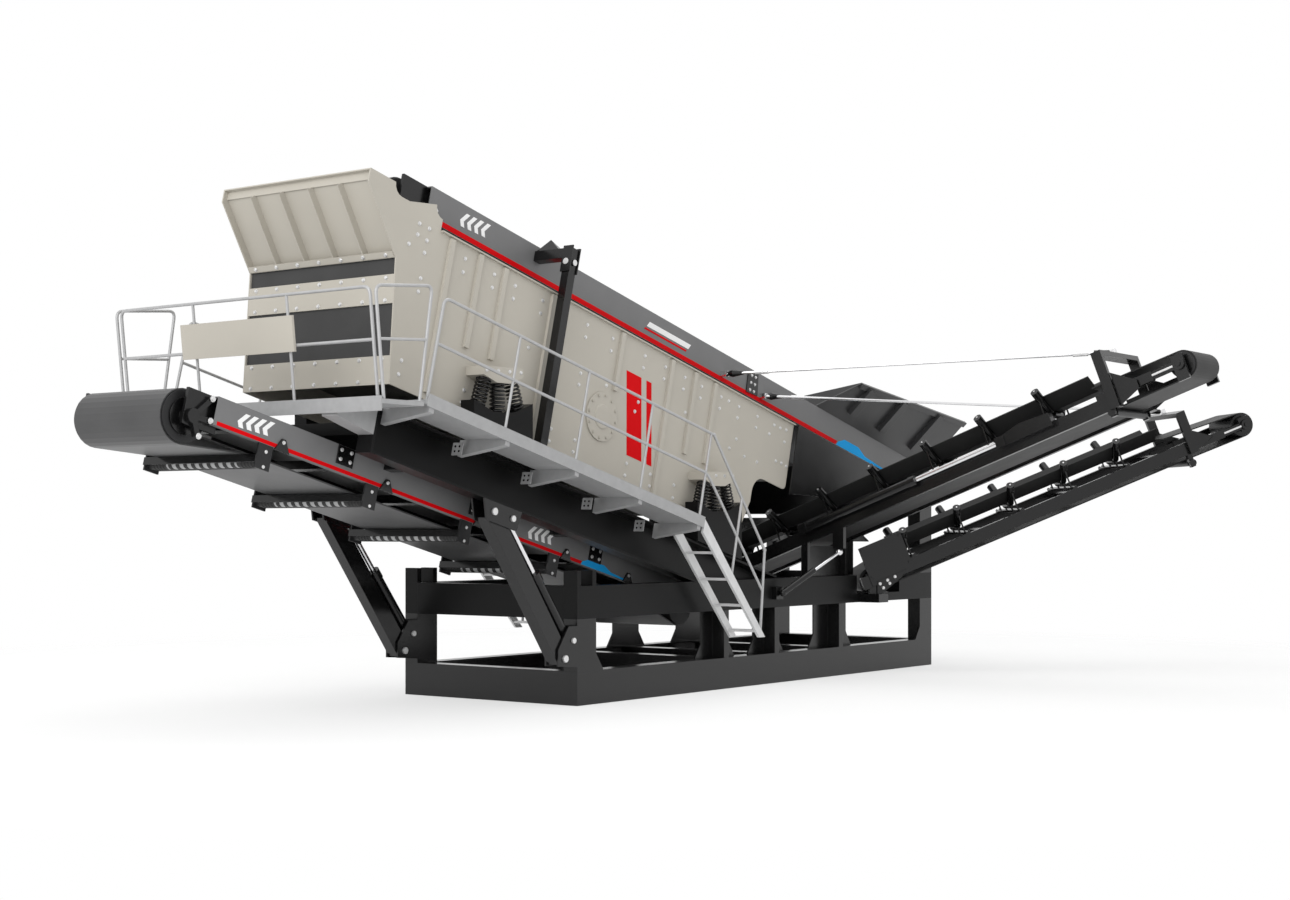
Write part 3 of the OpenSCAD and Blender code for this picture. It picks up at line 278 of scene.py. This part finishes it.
curtain_rubber = rubber("curtain_rubber", (0.044, 0.044, 0.044), (0.5, 0.62))
dark_rubber = rubber("dark_rubber", (0.016, 0.016, 0.016), (0.45, 0.6))
bright = surface("bright_steel", (0.78, 0.78, 0.79), vary=0.05, rough=(0.12, 0.22), metal=1.0)
zinc = surface("zinc_plate", (0.72, 0.72, 0.72), vary=0.06, rough=(0.25, 0.35), metal=0.6, scale=30.0)
drum = surface("drum_steel", (0.020, 0.020, 0.021), rough=(0.35, 0.5), metal=0.2, spec=0.35)
deck_steel = surface("deck_steel", (0.22, 0.215, 0.20), rough=(0.45, 0.65), metal=0.5)

slot_material = {"black_paint": black, "beige_paint": beige, "grey_paint": panel_grey,
                 "galvanised": galvanised, "rubber": belt_rubber, "bright_steel": bright,
                 "drum_steel": drum, "screen_steel": deck_steel}
# Nodes whose finish differs from the rest of their slot; the feed hopper's lighter black is painted sheen, the
# ladder's lighter steel painted light
own_finish = {"side_belt": dark_rubber, "tail_belt": dark_rubber, "coil_springs": dark_rubber,
              "screen_curtains": curtain_rubber, "feed_hopper": black_with_painted_sheen,
              "chassis_beams": satin, "chassis_cross_members": satin, "skid_upper_beams": satin,
              "skid_upper_cross_beams": satin, "spring_pedestals": satin,
              "ladder_handrails": rail_steel, "ladder_stringers": painted_light_ladder_steel, "ladder_treads": painted_light_ladder_steel}
for part in frame["record"]["subparts"]:
    finishes = nodes[part["node"]].data.materials
    finishes.clear()
    finishes.append(own_finish.get(part["node"], slot_material[part["material_slot"]]))

# Painted bands, chevrons and plain bars on the conveyors' panels, as outlines in s and n
FEED_RED = [(-5.865, 2.004), (1.60, 2.004), (1.64, 2.056), (-5.865, 2.056)]
FEED_BLUE = [(1.62, 2.004), (2.95, 2.004), (2.95, 2.022), (2.32, 2.050), (2.14, 2.118), (1.80, 2.118),
             (1.66, 2.056)]
FINES_RED = [(-7.85, -0.566), (-2.95, -0.566), (-2.93, -0.532), (-7.85, -0.532)]
FINES_BLUE = [(-2.94, -0.566), (-2.10, -0.566), (-2.10, -0.556), (-2.44, -0.535), (-2.56, -0.492),
              (-2.82, -0.492), (-2.92, -0.532)]
WHITE_BAR = [(-2.40, 2.150), (-1.62, 2.150), (-1.58, 2.210), (-2.36, 2.210)]
RED_BAR = [(-2.44, 2.108), (-1.66, 2.108), (-1.645, 2.130), (-2.425, 2.130)]
red_edges, blue_ends, white_chevrons = Piece("red_edges"), Piece("blue_ends"), Piece("white_chevrons")


def chevrons(s, n, y, side, pitch, high, low, stroke=0.052, lead=0.022, tip=0.075, climb=0.006):
    """Four bent strokes in a row."""
    for i in range(4):
        p, q = s + i * pitch, n + i * climb
        white_chevrons.on_face([(p, q), (p + lead, q - low), (p + lead + stroke, q - low), (p + stroke, q),
                                (p + tip + stroke, q + high), (p + tip, q + high)], y, side)


for side in BOTH_SIDES:
    red_edges.on_face(FEED_RED, FEED_PANEL_Y, side)
    blue_ends.on_face(FEED_BLUE, FEED_PANEL_Y, side)
    red_edges.on_face(FINES_RED, FINES_PANEL_Y, side)
    blue_ends.on_face(FINES_BLUE, FINES_PANEL_Y, side)
    chevrons(-5.435, 2.165, FEED_PANEL_Y, side, pitch=0.10, high=0.088, low=0.056)
    chevrons(-7.642, -0.466, FINES_PANEL_Y, side, pitch=0.092, high=0.08, low=0.048)
    chevrons(-3.819, -0.452, FINES_PANEL_Y, side, pitch=0.10, high=0.075, low=0.058)
    white_chevrons.on_face(WHITE_BAR, FEED_PANEL_Y, side)
    red_edges.on_face(RED_BAR, FEED_PANEL_Y, side)
red_edges.make(red, "plant", "grey_paint")
blue_ends.make(blue, "plant", "grey_paint")
white_chevrons.make(white, "plant", "grey_paint")

# Plain slanted bars on the screen box
BAR_LOW, BAR_HIGH, BAR_LEAN = 0.62, 1.46, 0.21
side_bars = Piece("side_bars")
for side in BOTH_SIDES:
    for s, width in ((-2.98, 0.26), (-2.63, 0.09)):
        side_bars.on_face([(s, BAR_HIGH), (s + BAR_LEAN, BAR_LOW), (s + BAR_LEAN + width, BAR_LOW),
                           (s + width, BAR_HIGH)], PLATE_Y, side)
side_bars.make(red, "screen_box", "beige_paint")

# Bolts on the screen box: pairs over the ribs, then single ones, as s and n on the side plates
PLATE_BOLT = (0.015, 0.013)
BOLT_PAIRS = (-5.575, -5.155, -4.845, -4.425, -3.705, -3.28, -2.716, -2.346, -1.985, -1.665, -1.286, -0.928,
              -0.548)
PAIR_N = (1.698, 1.568)
BOLT_SINGLES = (
    (-6.226, 1.79), (-6.095, 1.791), (-6.226, 1.685), (-6.1, 1.676), (-6.312, 1.565), (-6.103, 1.558),
    (-6.094, 1.319), (-6.095, 1.193), (-6.149, 0.529), (-6.155, 0.399), (-4.517, 1.191), (-3.692, 1.198),
    (-3.692, 1.08), (-3.265, 1.205), (-2.714, 1.2), (-2.747, 1.09), (-5.296, 0.522), (-5.301, 0.401),
    (-1.133, 1.699), (-0.192, 1.705), (-0.063, 1.708), (0.064, 1.721), (-0.267, 1.577), (0.057, 1.577),
    (-0.892, 1.336), (-0.999, 1.202), (-0.693, 1.193), (-0.433, 1.202), (-0.06, 1.319), (0.055, 1.327),
    (0.166, 1.318), (-1.442, 1.203), (-1.891, 1.339), (-2.332, 0.535), (-1.901, 0.538), (-2.319, 0.414),
    (-1.889, 0.4), (-4.0, 0.535), (-4.0, 0.41), (-3.62, 0.53), (-3.62, 0.41), (-2.75, 0.535), (-2.75, 0.41))
BRACKET_FACE_Y, BRACKET_BOLT_RISE = 1.17, 0.11
END_ROW_Y = [-0.84 + 0.28 * i for i in range(7)]
plate_bolts = Piece("plate_bolts")
for side in BOTH_SIDES:
    out = Vector((0, side, 0))
    for s, n in [(s, n) for s in BOLT_PAIRS for n in PAIR_N] + list(BOLT_SINGLES):
        plate_bolts.bolt(slope(s, side * PLATE_Y, n), out, *PLATE_BOLT)
    # Spring brackets
    for _, x in SPRINGS:
        z = coil_foot(x) + COIL_H + BRACKET_BOLT_RISE
        for d in (-0.24, -0.08, 0.08, 0.24):
            plate_bolts.bolt((x + d, side * BRACKET_FACE_Y, z), out, 0.014, 0.012)
# Bands of the rear wall and flange of the hood
wall_out, hood_out = [-(m.to_3x3() @ Vector((1, 0, 0))) for m in (WALL, HOOD)]
for z in (0.03, 0.225, 0.75, 0.95):
    for y in END_ROW_Y:
        plate_bolts.bolt(WALL @ Vector((0, y, z)), wall_out, *PLATE_BOLT)
for y in END_ROW_Y:
    plate_bolts.bolt(HOOD @ Vector((-0.004, y, 0.034)), hood_out, *PLATE_BOLT)
plate_bolts.make(zinc, "screen_box", "bright_steel")

# Flange strip of the hood, and the exciter's caps with their rings of bolts
EXCITER_S, EXCITER_N, RING_R, RING_COUNT = -3.268, 0.878, 0.218, 12
hood_strip, exciter_caps = Piece("hood_strip"), Piece("exciter_caps")
hood_strip.box((-0.004, 0.008), (-0.93, 0.93), (0.006, 0.062), HOOD)
for side in BOTH_SIDES:
    exciter_caps.bar(slope(EXCITER_S, side * 0.961, EXCITER_N), slope(EXCITER_S, side * 0.972, EXCITER_N),
                     0.13, 40, r2=0.118)
    for i in range(RING_COUNT):
        a = 2 * math.pi * i / RING_COUNT
        exciter_caps.bolt(slope(EXCITER_S + RING_R * math.cos(a), side * 0.962, EXCITER_N + RING_R * math.sin(a)),
                          (0, side, 0), 0.013, 0.012)
hood_strip.make(beige, "screen_box", "beige_paint")
exciter_caps.make(beige, "screen_box", "beige_paint")

# Wire mesh of the top deck, with clamping bars along the side plates
LONG_WIRES, CROSS_WIRES, WIRE_HALF = 30, 100, 0.004
DECK_S = (-6.10, 0.17)
deck_mesh = Piece("deck_mesh")
for i in range(LONG_WIRES):
    y = -0.90 + i * 1.80 / (LONG_WIRES - 1)
    deck_mesh.box(DECK_S, (y - WIRE_HALF, y + WIRE_HALF), (1.19, 1.196), SLOPE)
for i in range(CROSS_WIRES):
    s = -6.08 + i * 6.22 / (CROSS_WIRES - 1)
    deck_mesh.box((s - WIRE_HALF, s + WIRE_HALF), (-0.92, 0.92), (1.196, 1.202), SLOPE)
for side in BOTH_SIDES:
    deck_mesh.box(DECK_S, across(side, 0.87, 0.93), (1.203, 1.24), SLOPE)
deck_mesh.make(deck_steel, "screen_box", "screen_steel")

# Pins and bolts in zinc, and small black parts, gathered over the whole plant
pins, dark = Piece("pins"), Piece("dark_details")
LEG_FOOT, CYLINDER_FOOT = Vector((-3.773, 0, 0.47)), Vector((-3.645, 0, 0.64))
LEG_TOP, CYLINDER_TOP = slope(-4.83, 0, -0.51), slope(-4.56, 0, -0.51)
PORTAL_S, PORTAL_PIN_N = -4.28, 2.12
PORTAL_GUSSET = ((-0.05, 0.68, 2.262), (0.05, 0.68, 2.262), (0.05, 0.96, 2.262), (-0.05, 0.96, 2.262),
                 (0.0, 0.80, 2.39))
SPLICE = [(-0.43, 2.04), (-0.20, 2.055), (-0.24, 2.31), (-0.44, 2.27)]
SPLICE_T, JOIN_T, LUG_T = 0.012, 0.010, 0.015
for side in BOTH_SIDES:
    out = Vector((0, side, 0))
    # Pin ends on the legs and their cylinders
    for p, r in ((LEG_FOOT, 0.035), (CYLINDER_FOOT, 0.028), (LEG_TOP, 0.035), (CYLINDER_TOP, 0.030)):
        for inner, outer in ((0.085, 0.104), (-0.085, -0.104)):
            pins.bar((p.x, side * (LEG_Y + inner), p.z), (p.x, side * (LEG_Y + outer), p.z), r, 20)
    # Portal arm: cheek plates at the top, pins, and a gusset on the bracket
    for d in (-0.062, 0.052):
        dark.box((PORTAL_S + d, PORTAL_S + d + 0.012), across(side, 1.03, 1.15), (2.02, 2.285), SLOPE)
    pins.bar(slope(PORTAL_S - 0.072, side * 1.09, PORTAL_PIN_N), slope(PORTAL_S + 0.072, side * 1.09, PORTAL_PIN_N),
             0.032, 20)
    pins.bar(slope(PORTAL_S, side * 1.15, PORTAL_PIN_N), slope(PORTAL_S, side * 1.156, PORTAL_PIN_N), 0.03, 20)
    dark.face_set([slope(PORTAL_S + a, side * y, n) for a, y, n in PORTAL_GUSSET],
                  [(0, 1, 2, 3), (0, 1, 4), (1, 2, 4), (2, 3, 4), (3, 0, 4)])
    # Splice plate on the feed panel
    dark.on_face(SPLICE, FEED_PANEL_Y, side, SPLICE_T)
    for s in (-0.37, -0.29):
        for n in (2.08, 2.165, 2.25):
            pins.bolt(slope(s, side * (FEED_PANEL_Y + SPLICE_T), n), out, 0.014, 0.012)
    # Four-bolt plates on the fines panel
    for s in (-6.385, -4.605, -2.735):
        dark.box((s - 0.10, s + 0.10), across(side, FINES_PANEL_Y, FINES_PANEL_Y + JOIN_T), (-0.50, -0.335), SLOPE)
        for d in (-0.06, 0.06):
            for n in (-0.455, -0.372):
                pins.bolt(slope(s + d, side * (FINES_PANEL_Y + JOIN_T), n), out, 0.014, 0.013)
    # Lugs over the return rollers' hangers
    for s in (-7.12, -5.83, -4.54, -3.20, -2.15):
        dark.on_face([(s - 0.085, -0.585), (s + 0.085, -0.585), (s + 0.02, -0.475), (s - 0.02, -0.475)],
                     FINES_PANEL_Y, side, LUG_T)
        pins.bolt(slope(s, side * (FINES_PANEL_Y + LUG_T), -0.505), out, 0.013, 0.012)

# Drum ends: the fines conveyor's head with its three-armed bearing bracket, its tail, and the feed head
FINES_HEAD, FINES_TAIL, FEED_HEAD = slope(-8.07, 0, -0.552), slope(-0.958, 0, -0.552), slope(-5.77, 0, 2.118)
ARM_Y = 0.662
for side in BOTH_SIDES:
    out = Vector((0, side, 0))
    dark.bar(FINES_HEAD + out * 0.566, FINES_HEAD + out * 0.580, 0.155, 32)
    dark.bar(FINES_HEAD + out * 0.580, FINES_HEAD + out * 0.690, 0.062, 24)
    for s, n in ((-7.92, -0.365), (-7.90, -0.545), (-7.99, -0.70)):
        arm_end = slope(s, side * ARM_Y, n)
        dark.bar(FINES_HEAD + out * ARM_Y, arm_end, 0.034, 4, smooth=False)
        pins.bolt(arm_end + out * 0.03, out, 0.02, 0.018)
    dark.bar(FINES_TAIL + out * 0.566, FINES_TAIL + out * 0.690, 0.09, 24)
    dark.bar(FEED_HEAD + out * 0.505, FEED_HEAD + out * 0.56, 0.10, 28)
    dark.bar(FEED_HEAD + out * 0.56, FEED_HEAD + out * 0.65, 0.05, 20)
    pins.bolt(FEED_HEAD + out * 0.65, out, 0.026, 0.02)

# Return rollers: bright shells under rubber discs, sleeves at the ends, a guard bar on the uphill side
RETURN_N = -0.665 - 0.0504
SHELL_Y, SLEEVE_Y = 0.45, 0.66
sleeves, shells = Piece("roller_sleeves"), Piece("roller_shells")


def roller_disc(s, y, half, r):
    sleeves.bar(slope(s, y - half, RETURN_N), slope(s, y + half, RETURN_N), r, 20)


for s in (-7.30, -6.01, -4.72, -3.38):
    for side in BOTH_SIDES:
        sleeves.bar(slope(s, side * SHELL_Y, RETURN_N), slope(s, side * SLEEVE_Y, RETURN_N), 0.052, 20)
        for i in range(4):
            roller_disc(s, side * (0.50 + i * 0.04), 0.008, 0.056)
        for n in (-0.63, -0.76):
            pins.bolt(slope(s + 0.02, side * FINES_PANEL_Y, n), (0, side, 0), 0.012, 0.01)
    shells.bar(slope(s, -SHELL_Y, RETURN_N), slope(s, SHELL_Y, RETURN_N), 0.0515, 24)
    dark.box((s - 0.082, s - 0.070), (-FINES_PANEL_Y, FINES_PANEL_Y), (-0.742, -0.674), SLOPE)
    for i in range(9):
        roller_disc(s, -0.40 + i * 0.10, 0.022, 0.055)
sleeves.make(dark_rubber, "plant", "rubber")
shells.make(galvanised, "plant", "galvanised")

# Outlet conveyors: frame, length between drums, the frame's low edge, carrying and return lines of the belt
OUTLETS = ((SIDE, 6.47, -0.172, 0.165, -0.150), (TAIL, 5.037, -0.070, 0.215, -0.140))
IDLER_START, IDLER_PITCH, IDLER_CLEAR = 0.56, 0.72, 1.05
TROUGH = math.radians(45)
WING_LENGTH, WING_DROP, WING_Y, WING_Z = 0.30, 0.0384, 0.10, -0.014
STRINGER_Y = 0.45
idler_caps = Piece("idler_caps")


def cross_bar(m, x, y0, y1, z, r, count):
    """Round black bar across a conveyor."""
    dark.bar(m @ Vector((x, y0, z)), m @ Vector((x, y1, z)), r, count)


for m, length, low, carry, back in OUTLETS:
    turn = m.to_3x3()
    up = turn @ Vector((0, 0, 1))
    for side in BOTH_SIDES:
        out = turn @ Vector((0, side, 0))
        # Drum hubs and bearings
        for x in (0.0, length):
            for y0, y1, r, count in ((0.311, 0.322, 0.118, 28), (0.42, 0.452, 0.062, 24), (0.452, 0.468, 0.028, 20)):
                cross_bar(m, x, side * y0, side * y1, 0, r, count)
            for a in (0.6, 2.2, 3.8, 5.4):
                p = (x + 0.048 * math.cos(a), side * 0.42, 0.048 * math.sin(a))
                pins.bolt(m @ Vector(p), out, 0.010, 0.012)
        # Sleeve and screw of the head tensioner
        dark.box((length - 0.62, length - 0.30), across(side, 0.372, 0.428), (-0.05, 0.05), m)
        pins.bar(m @ Vector((length - 0.30, side * 0.43, 0)), m @ Vector((length - 0.06, side * 0.43, 0)), 0.012, 10)
        # Snub bearing, and gusset at the bridle's foot
        cross_bar(m, length - 0.82, side * 0.45, side * 0.468, back - 0.04, 0.045, 20)
        dark.prism([(length - 0.70, low + 0.01), (length - 0.70, 0.20), (length - 0.46, 0.02),
                    (length - 0.46, low + 0.10)], *across(side, 0.452, 0.464), m)
        # Idlers: a sleeve and a cap on each wing roller's end, and bolts at the foot
        along = turn @ Vector((0, side * math.cos(TROUGH), math.sin(TROUGH)))
        y = WING_Y + WING_LENGTH * math.cos(TROUGH) + WING_DROP * math.sin(TROUGH)
        z = carry + WING_Z + WING_LENGTH * math.sin(TROUGH) - WING_DROP * math.cos(TROUGH)
        x = IDLER_START
        while x < length - IDLER_CLEAR:
            p = m @ Vector((x, side * y, z))
            dark.bar(p - along * 0.076, p + along * 0.044, 0.047, 24)
            idler_caps.bar(p + along * 0.044, p + along * 0.054, 0.010, 10)
            for dx in (-0.02, 0.02):
                dark.bolt(m @ Vector((x + dx, side * 0.42, low + 0.177)), up, 0.009, 0.010)
            x += IDLER_PITCH
        # Bolts where the frame is joined, apart from the side with the cover plate
        if m is TAIL and side < 0:
            continue
        for x in (0.35, 0.42, 0.49):
            for z in (low + 0.04, low + 0.11):
                pins.bolt(m @ Vector((x, side * STRINGER_Y, z)), out, 0.012, 0.012)
idler_caps.make(zinc, "plant", "bright_steel")

# Bracket and bolts on the cover plate at the tail conveyor's foot
COVER_Y, COVER_BRACKET_Y = -0.466, -0.478
out = TAIL.to_3x3() @ Vector((0, -1, 0))
dark.prism([(-0.05, -0.20), (0.32, -0.085), (0.40, -0.02), (0.02, -0.02)], COVER_BRACKET_Y, COVER_Y, TAIL)
for x, z in ((0.04, -0.06), (0.14, -0.055), (0.24, -0.05), (0.06, -0.12), (0.15, -0.10)):
    pins.bolt(TAIL @ Vector((x, COVER_BRACKET_Y, z)), out, 0.014, 0.014)
for x, z in ((-0.02, 0.39), (0.47, 0.39), (-0.02, 0.05), (0.47, 0.05)):
    dark.bolt(TAIL @ Vector((x, COVER_Y, z)), out, 0.012, 0.012)

# Guard plate with a turned edge between the posts under the side conveyor
GUARD_Y = -1.0145
dark.box((0.70, 1.60), (-1.0225, GUARD_Y), (1.145, 1.518))
dark.box((0.76, 1.54), (GUARD_Y, -0.985), (1.49, 1.498))
for x in (0.73, 1.57):
    for z in (1.22, 1.32, 1.42):
        dark.bolt((x, GUARD_Y, z), (0, 1, 0), 0.012, 0.012)

# Stays: shackles and turnbuckles at their ends
for p, q in (((-0.39, -0.70, 3.446), SIDE @ Vector((5.71, 0, 0.49))),
             ((0.40, -0.70, 3.24), TAIL @ Vector((4.277, 0, 0.49)))):
    p = Vector(p)
    d = (q - p).normalized()
    dark.bar(p + d * 0.02, p + d * 0.09, 0.018, 16, r2=0.042)
    dark.bar(p + d * 0.09, p + d * 0.22, 0.042, 16, r2=0.018)
    pins.bar(p + d * 0.20, p + d * 0.34, 0.016, 10)
    pins.bar(p + d * 0.34, p + d * 0.50, 0.024, 6, smooth=False)
    pins.bar(q - d * 0.42, q - d * 0.26, 0.024, 6, smooth=False)
    dark.bar(q - d * 0.20, q - d * 0.04, 0.034, 12, r2=0.028)

# Leg cylinders: glands and end caps
GLAND_SHARE = 0.55
for side in BOTH_SIDES:
    p, q = [end + Vector((0, side * LEG_Y, 0)) for end in (CYLINDER_FOOT, CYLINDER_TOP)]
    d = (q - p).normalized()
    gland = p + (q - p) * GLAND_SHARE
    dark.bar(gland - d * 0.09, gland + d * 0.012, 0.064, 24)
    dark.bar(p + d * 0.06, p + d * 0.11, 0.062, 24)

# Folding cylinder of the side conveyor: gland, and bracket at its upper end
FOLD_START, FOLD_END, FOLD_SHARE, FOLD_Y, FOLD_Z = 1.75 + 0.0553, 4.40 - 0.0553, 0.58, -0.505, -0.02
gland_x = FOLD_START + FOLD_SHARE * (FOLD_END - FOLD_START)
dark.bar(SIDE @ Vector((gland_x - 0.07, FOLD_Y, FOLD_Z)), SIDE @ Vector((gland_x + 0.012, FOLD_Y, FOLD_Z)), 0.056, 24)
dark.prism([(4.42, -0.075), (4.42, 0.035), (4.66, 0.085), (5.02, 0.06), (5.02, -0.075)], -0.54, -0.451, SIDE)

# Coil springs: a fan of three on each side of each group, baked in place on no body
COIL_R, WIRE_R, COIL_TURNS, TURN_STEPS = 0.065, 0.010, 8, 24
FAN, FAN_R = math.radians(20), 0.5471
for name, x in SPRINGS:
    coils = Piece(name)
    foot = coil_foot(x)
    for side in BOTH_SIDES:
        for i in (-1, 0, 1):
            m = (Matrix.Translation((x, side * SPRING_Y, foot + COIL_H + FAN_R)) @ Matrix.Rotation(-i * FAN, 4, "Y")
                 @ Matrix.Translation((0, 0, -FAN_R - COIL_H)))
            helix = []
            for k in range(COIL_TURNS * TURN_STEPS + 1):
                a = 2 * math.pi * k / TURN_STEPS
                # Half a flat turn at each end
                rise = min(1, max(0, (k / TURN_STEPS - 0.5) / (COIL_TURNS - 1)))
                z = WIRE_R + rise * (COIL_H - 2 * WIRE_R)
                helix.append(m @ Vector((COIL_R * math.cos(a), COIL_R * math.sin(a), z)))
            coils.tube(helix, WIRE_R, 8)
    ob = coils.make(black, None, "rubber", ("coil_springs",))
    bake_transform(ob)

# Railings of bent tube, with rounded corners
RAIL_R, POST_R, BEND, BEND_STEPS = 0.0145, 0.013, 0.075, 6
rails = Piece("bent_railings")


def bent(points, r=RAIL_R, bend=BEND):
    """Tube through the points, with its corners rounded."""
    pts = [Vector(p) for p in points]
    path = [pts[0]]
    for a, b, c in zip(pts, pts[1:], pts[2:]):
        start, end = b + (a - b).normalized() * bend, b + (c - b).normalized() * bend
        for i in range(BEND_STEPS + 1):
            k = i / BEND_STEPS
            path.append(start * (1 - k) ** 2 + b * (2 * k * (1 - k)) + end * k ** 2)
    path.append(pts[-1])
    rails.tube(path, r, 12)


# Along the walkways: the middle rail runs on down beside the ladder, whose handrail has a post
RAIL_Y, RAIL_S, RAIL_PITCH, RAIL_FOOT, RAIL_MID, RAIL_H = 1.6416, -6.453, 1.033, 0.04, 0.5472, 0.96
RAIL_END = RAIL_S + 4 * RAIL_PITCH + 0.03
for side in BOTH_SIDES:
    y = side * RAIL_Y
    bent([slope(RAIL_S, y, RAIL_FOOT), slope(RAIL_S, y, RAIL_H), slope(RAIL_END, y, RAIL_H)])
    bent([slope(RAIL_S, y, RAIL_MID), slope(RAIL_END, y, RAIL_MID), (-1.070, y, 1.063)])
    for i in range(1, 5):
        s = RAIL_S + i * RAIL_PITCH
        bent([slope(s, y, RAIL_FOOT), slope(s, y, RAIL_H)], POST_R)
    bent([(-1.4513, y, 2.0534), (-1.651, y, 1.235), (-1.662, y + side * 0.009, 1.19)], 0.014, 0.02)
# Across the end platform, leaning out a little, and at its two ends
END = Matrix.Translation((-6.78, 0, 2.80)) @ Matrix.Rotation(-math.radians(6), 4, "Y")
END_FOOT, END_H, END_Y, MID_SHARE = 0.003, 0.93, 1.59, 0.53
bent([END @ Vector((0, y, z)) for y, z in ((-END_Y, END_FOOT), (-END_Y, END_H), (END_Y, END_H), (END_Y, END_FOOT))])
bent([END @ Vector((0, y, MID_SHARE * END_H)) for y in (-END_Y, END_Y)])
for y in (-0.6, 0.6):
    bent([END @ Vector((0, y, z)) for z in (END_FOOT, END_H)], POST_R)
for side in BOTH_SIDES:
    foot0, foot1, top0, top1 = [Vector((x, side * 1.656, z)) for x, z in
                                ((-6.78, 2.80), (-6.352, 2.80), (-6.878, 3.73), (-6.194, 3.79))]
    bent([foot0, top0, top1, foot1])
    bent([foot0 + MID_SHARE * (top0 - foot0), foot1 + MID_SHARE * (top1 - foot1)], POST_R)
rails.make(rail_steel, "plant", "galvanised", ("side_railings", "end_railings"))

# End plates of the walkway brackets, each with four black discs as painted shade in its holes
plates = Piece("walkway_end_plates")
for side in BOTH_SIDES:
    for x in (-5.38, -4.42, -3.51, -2.66):
        s = (x + 0.03) * CI + (x * math.tan(INCLINE) + 0.05) * SI
        plates.box((s - 0.005, s + 0.005), across(side, 1.135, 1.255), (-0.165, -0.05), SLOPE)
        for y in (1.17, 1.22):
            for n in (-0.085, -0.13):
                # Black discs just off the plate's face: painted shade where its holes are
                dark.bar(slope(s - 0.0055, side * y, n), slope(s - 0.0065, side * y, n), 0.011, 12)
plates.make(galvanised, "plant", "galvanised")
pins.make(zinc, "plant", "bright_steel")
dark.make(black, "plant", "black_paint")


# Floor, light and camera
def math_node(nt, operation, a, b):
    """Math node on a socket and on another socket or a number."""
    node = nt.nodes.new("ShaderNodeMath")
    node.operation = operation
    nt.links.new(a, node.inputs[0])
    if isinstance(b, float):
        node.inputs[1].default_value = b
    else:
        nt.links.new(b, node.inputs[1])
    return node.outputs["Value"]


def surround_rays(nt):
    """1 for camera, glossy and transmission rays, which see the white surround."""
    path = nt.nodes.new("ShaderNodeLightPath")
    seen = path.outputs["Is Camera Ray"]
    for ray in ("Is Glossy Ray", "Is Transmission Ray"):
        seen = math_node(nt, "MAXIMUM", seen, path.outputs[ray])
    return seen


FLOOR_HALF, FADE_START, FADE_END, FLOOR_CLEAR = 40, 7.0, 12.0, 0.6
me = bpy.data.meshes.new("floor")
me.from_pydata([(x * FLOOR_HALF, y * FLOOR_HALF, 0) for x, y in ((-1, -1), (1, -1), (1, 1), (-1, 1))], [],
               [(0, 1, 2, 3)])
floor = bpy.data.objects.new("floor", me)
scene.collection.objects.link(floor)
floor_material, nt, bsdf = new_material("floor")
nt.links.new(ramp(nt, noise(nt, 0.4), (0.97, 0.97, 0.97), (0.99, 0.99, 0.99)), bsdf.inputs["Base Color"])
bsdf.inputs["Roughness"].default_value = 0.9
bsdf.inputs["Specular IOR Level"].default_value = 0.0
# The floor fades out into the white surround, and where the surround shows it keeps mostly the shadow
geometry = nt.nodes.new("ShaderNodeNewGeometry")
distance = nt.nodes.new("ShaderNodeVectorMath")
distance.operation = "LENGTH"
nt.links.new(geometry.outputs["Position"], distance.inputs[0])
fade = map_range(nt, distance.outputs["Value"], 0.0, 1.0, FADE_START, FADE_END)
thin = math_node(nt, "MULTIPLY", surround_rays(nt), FLOOR_CLEAR)
clear = nt.nodes.new("ShaderNodeBsdfTransparent")
mix = nt.nodes.new("ShaderNodeMixShader")
nt.links.new(math_node(nt, "MAXIMUM", fade, thin), mix.inputs["Fac"])
nt.links.new(bsdf.outputs["BSDF"], mix.inputs[1])
nt.links.new(clear.outputs["BSDF"], mix.inputs[2])
nt.links.new(mix.outputs["Shader"], nt.nodes["Material Output"].inputs["Surface"])
me.materials.append(floor_material)

WORLD_LIGHT, WORLD_SHOWN = 0.9, 1.0
world = bpy.data.worlds.new("studio")
scene.world = world
world.use_nodes = True
nt = world.node_tree
background = nt.nodes["Background"]
background.inputs["Color"].default_value = (1, 1, 1, 1)
nt.links.new(map_range(nt, surround_rays(nt), WORLD_LIGHT, WORLD_SHOWN), background.inputs["Strength"])


def area_light(name, pos, target, size, energy):
    light = bpy.data.lights.new(name, "AREA")
    light.size = size
    light.energy = energy
    ob = bpy.data.objects.new(name, light)
    ob.location = pos
    ob.rotation_euler = (Vector(target) - Vector(pos)).to_track_quat("-Z", "Y").to_euler()
    scene.collection.objects.link(ob)


area_light("key", (-19, -4, 9), (-1, 0, 2), 10, 1150)
area_light("top", (1, -1, 14), (0, 0, 2), 10, 350)

# Camera of the photograph: 1290 pixels wide, its horizon 76 pixels below the middle of the frame
PHOTO_WIDTH, HORIZON_DROP = 1290, 76
cam_data = bpy.data.cameras.new("camera")
cam_data.lens = 54.86
cam_data.sensor_width = 36
cam_data.shift_y = HORIZON_DROP / PHOTO_WIDTH
cam_data.clip_end = 1000
cam = bpy.data.objects.new("camera", cam_data)
cam.location = (-18.506, -13.063, 1.75)
cam.rotation_euler = Vector((0.8024, 0.5968, 0)).to_track_quat("-Z", "Y").to_euler()
scene.collection.objects.link(cam)
scene.camera = cam
scene.view_settings.view_transform = "Standard"
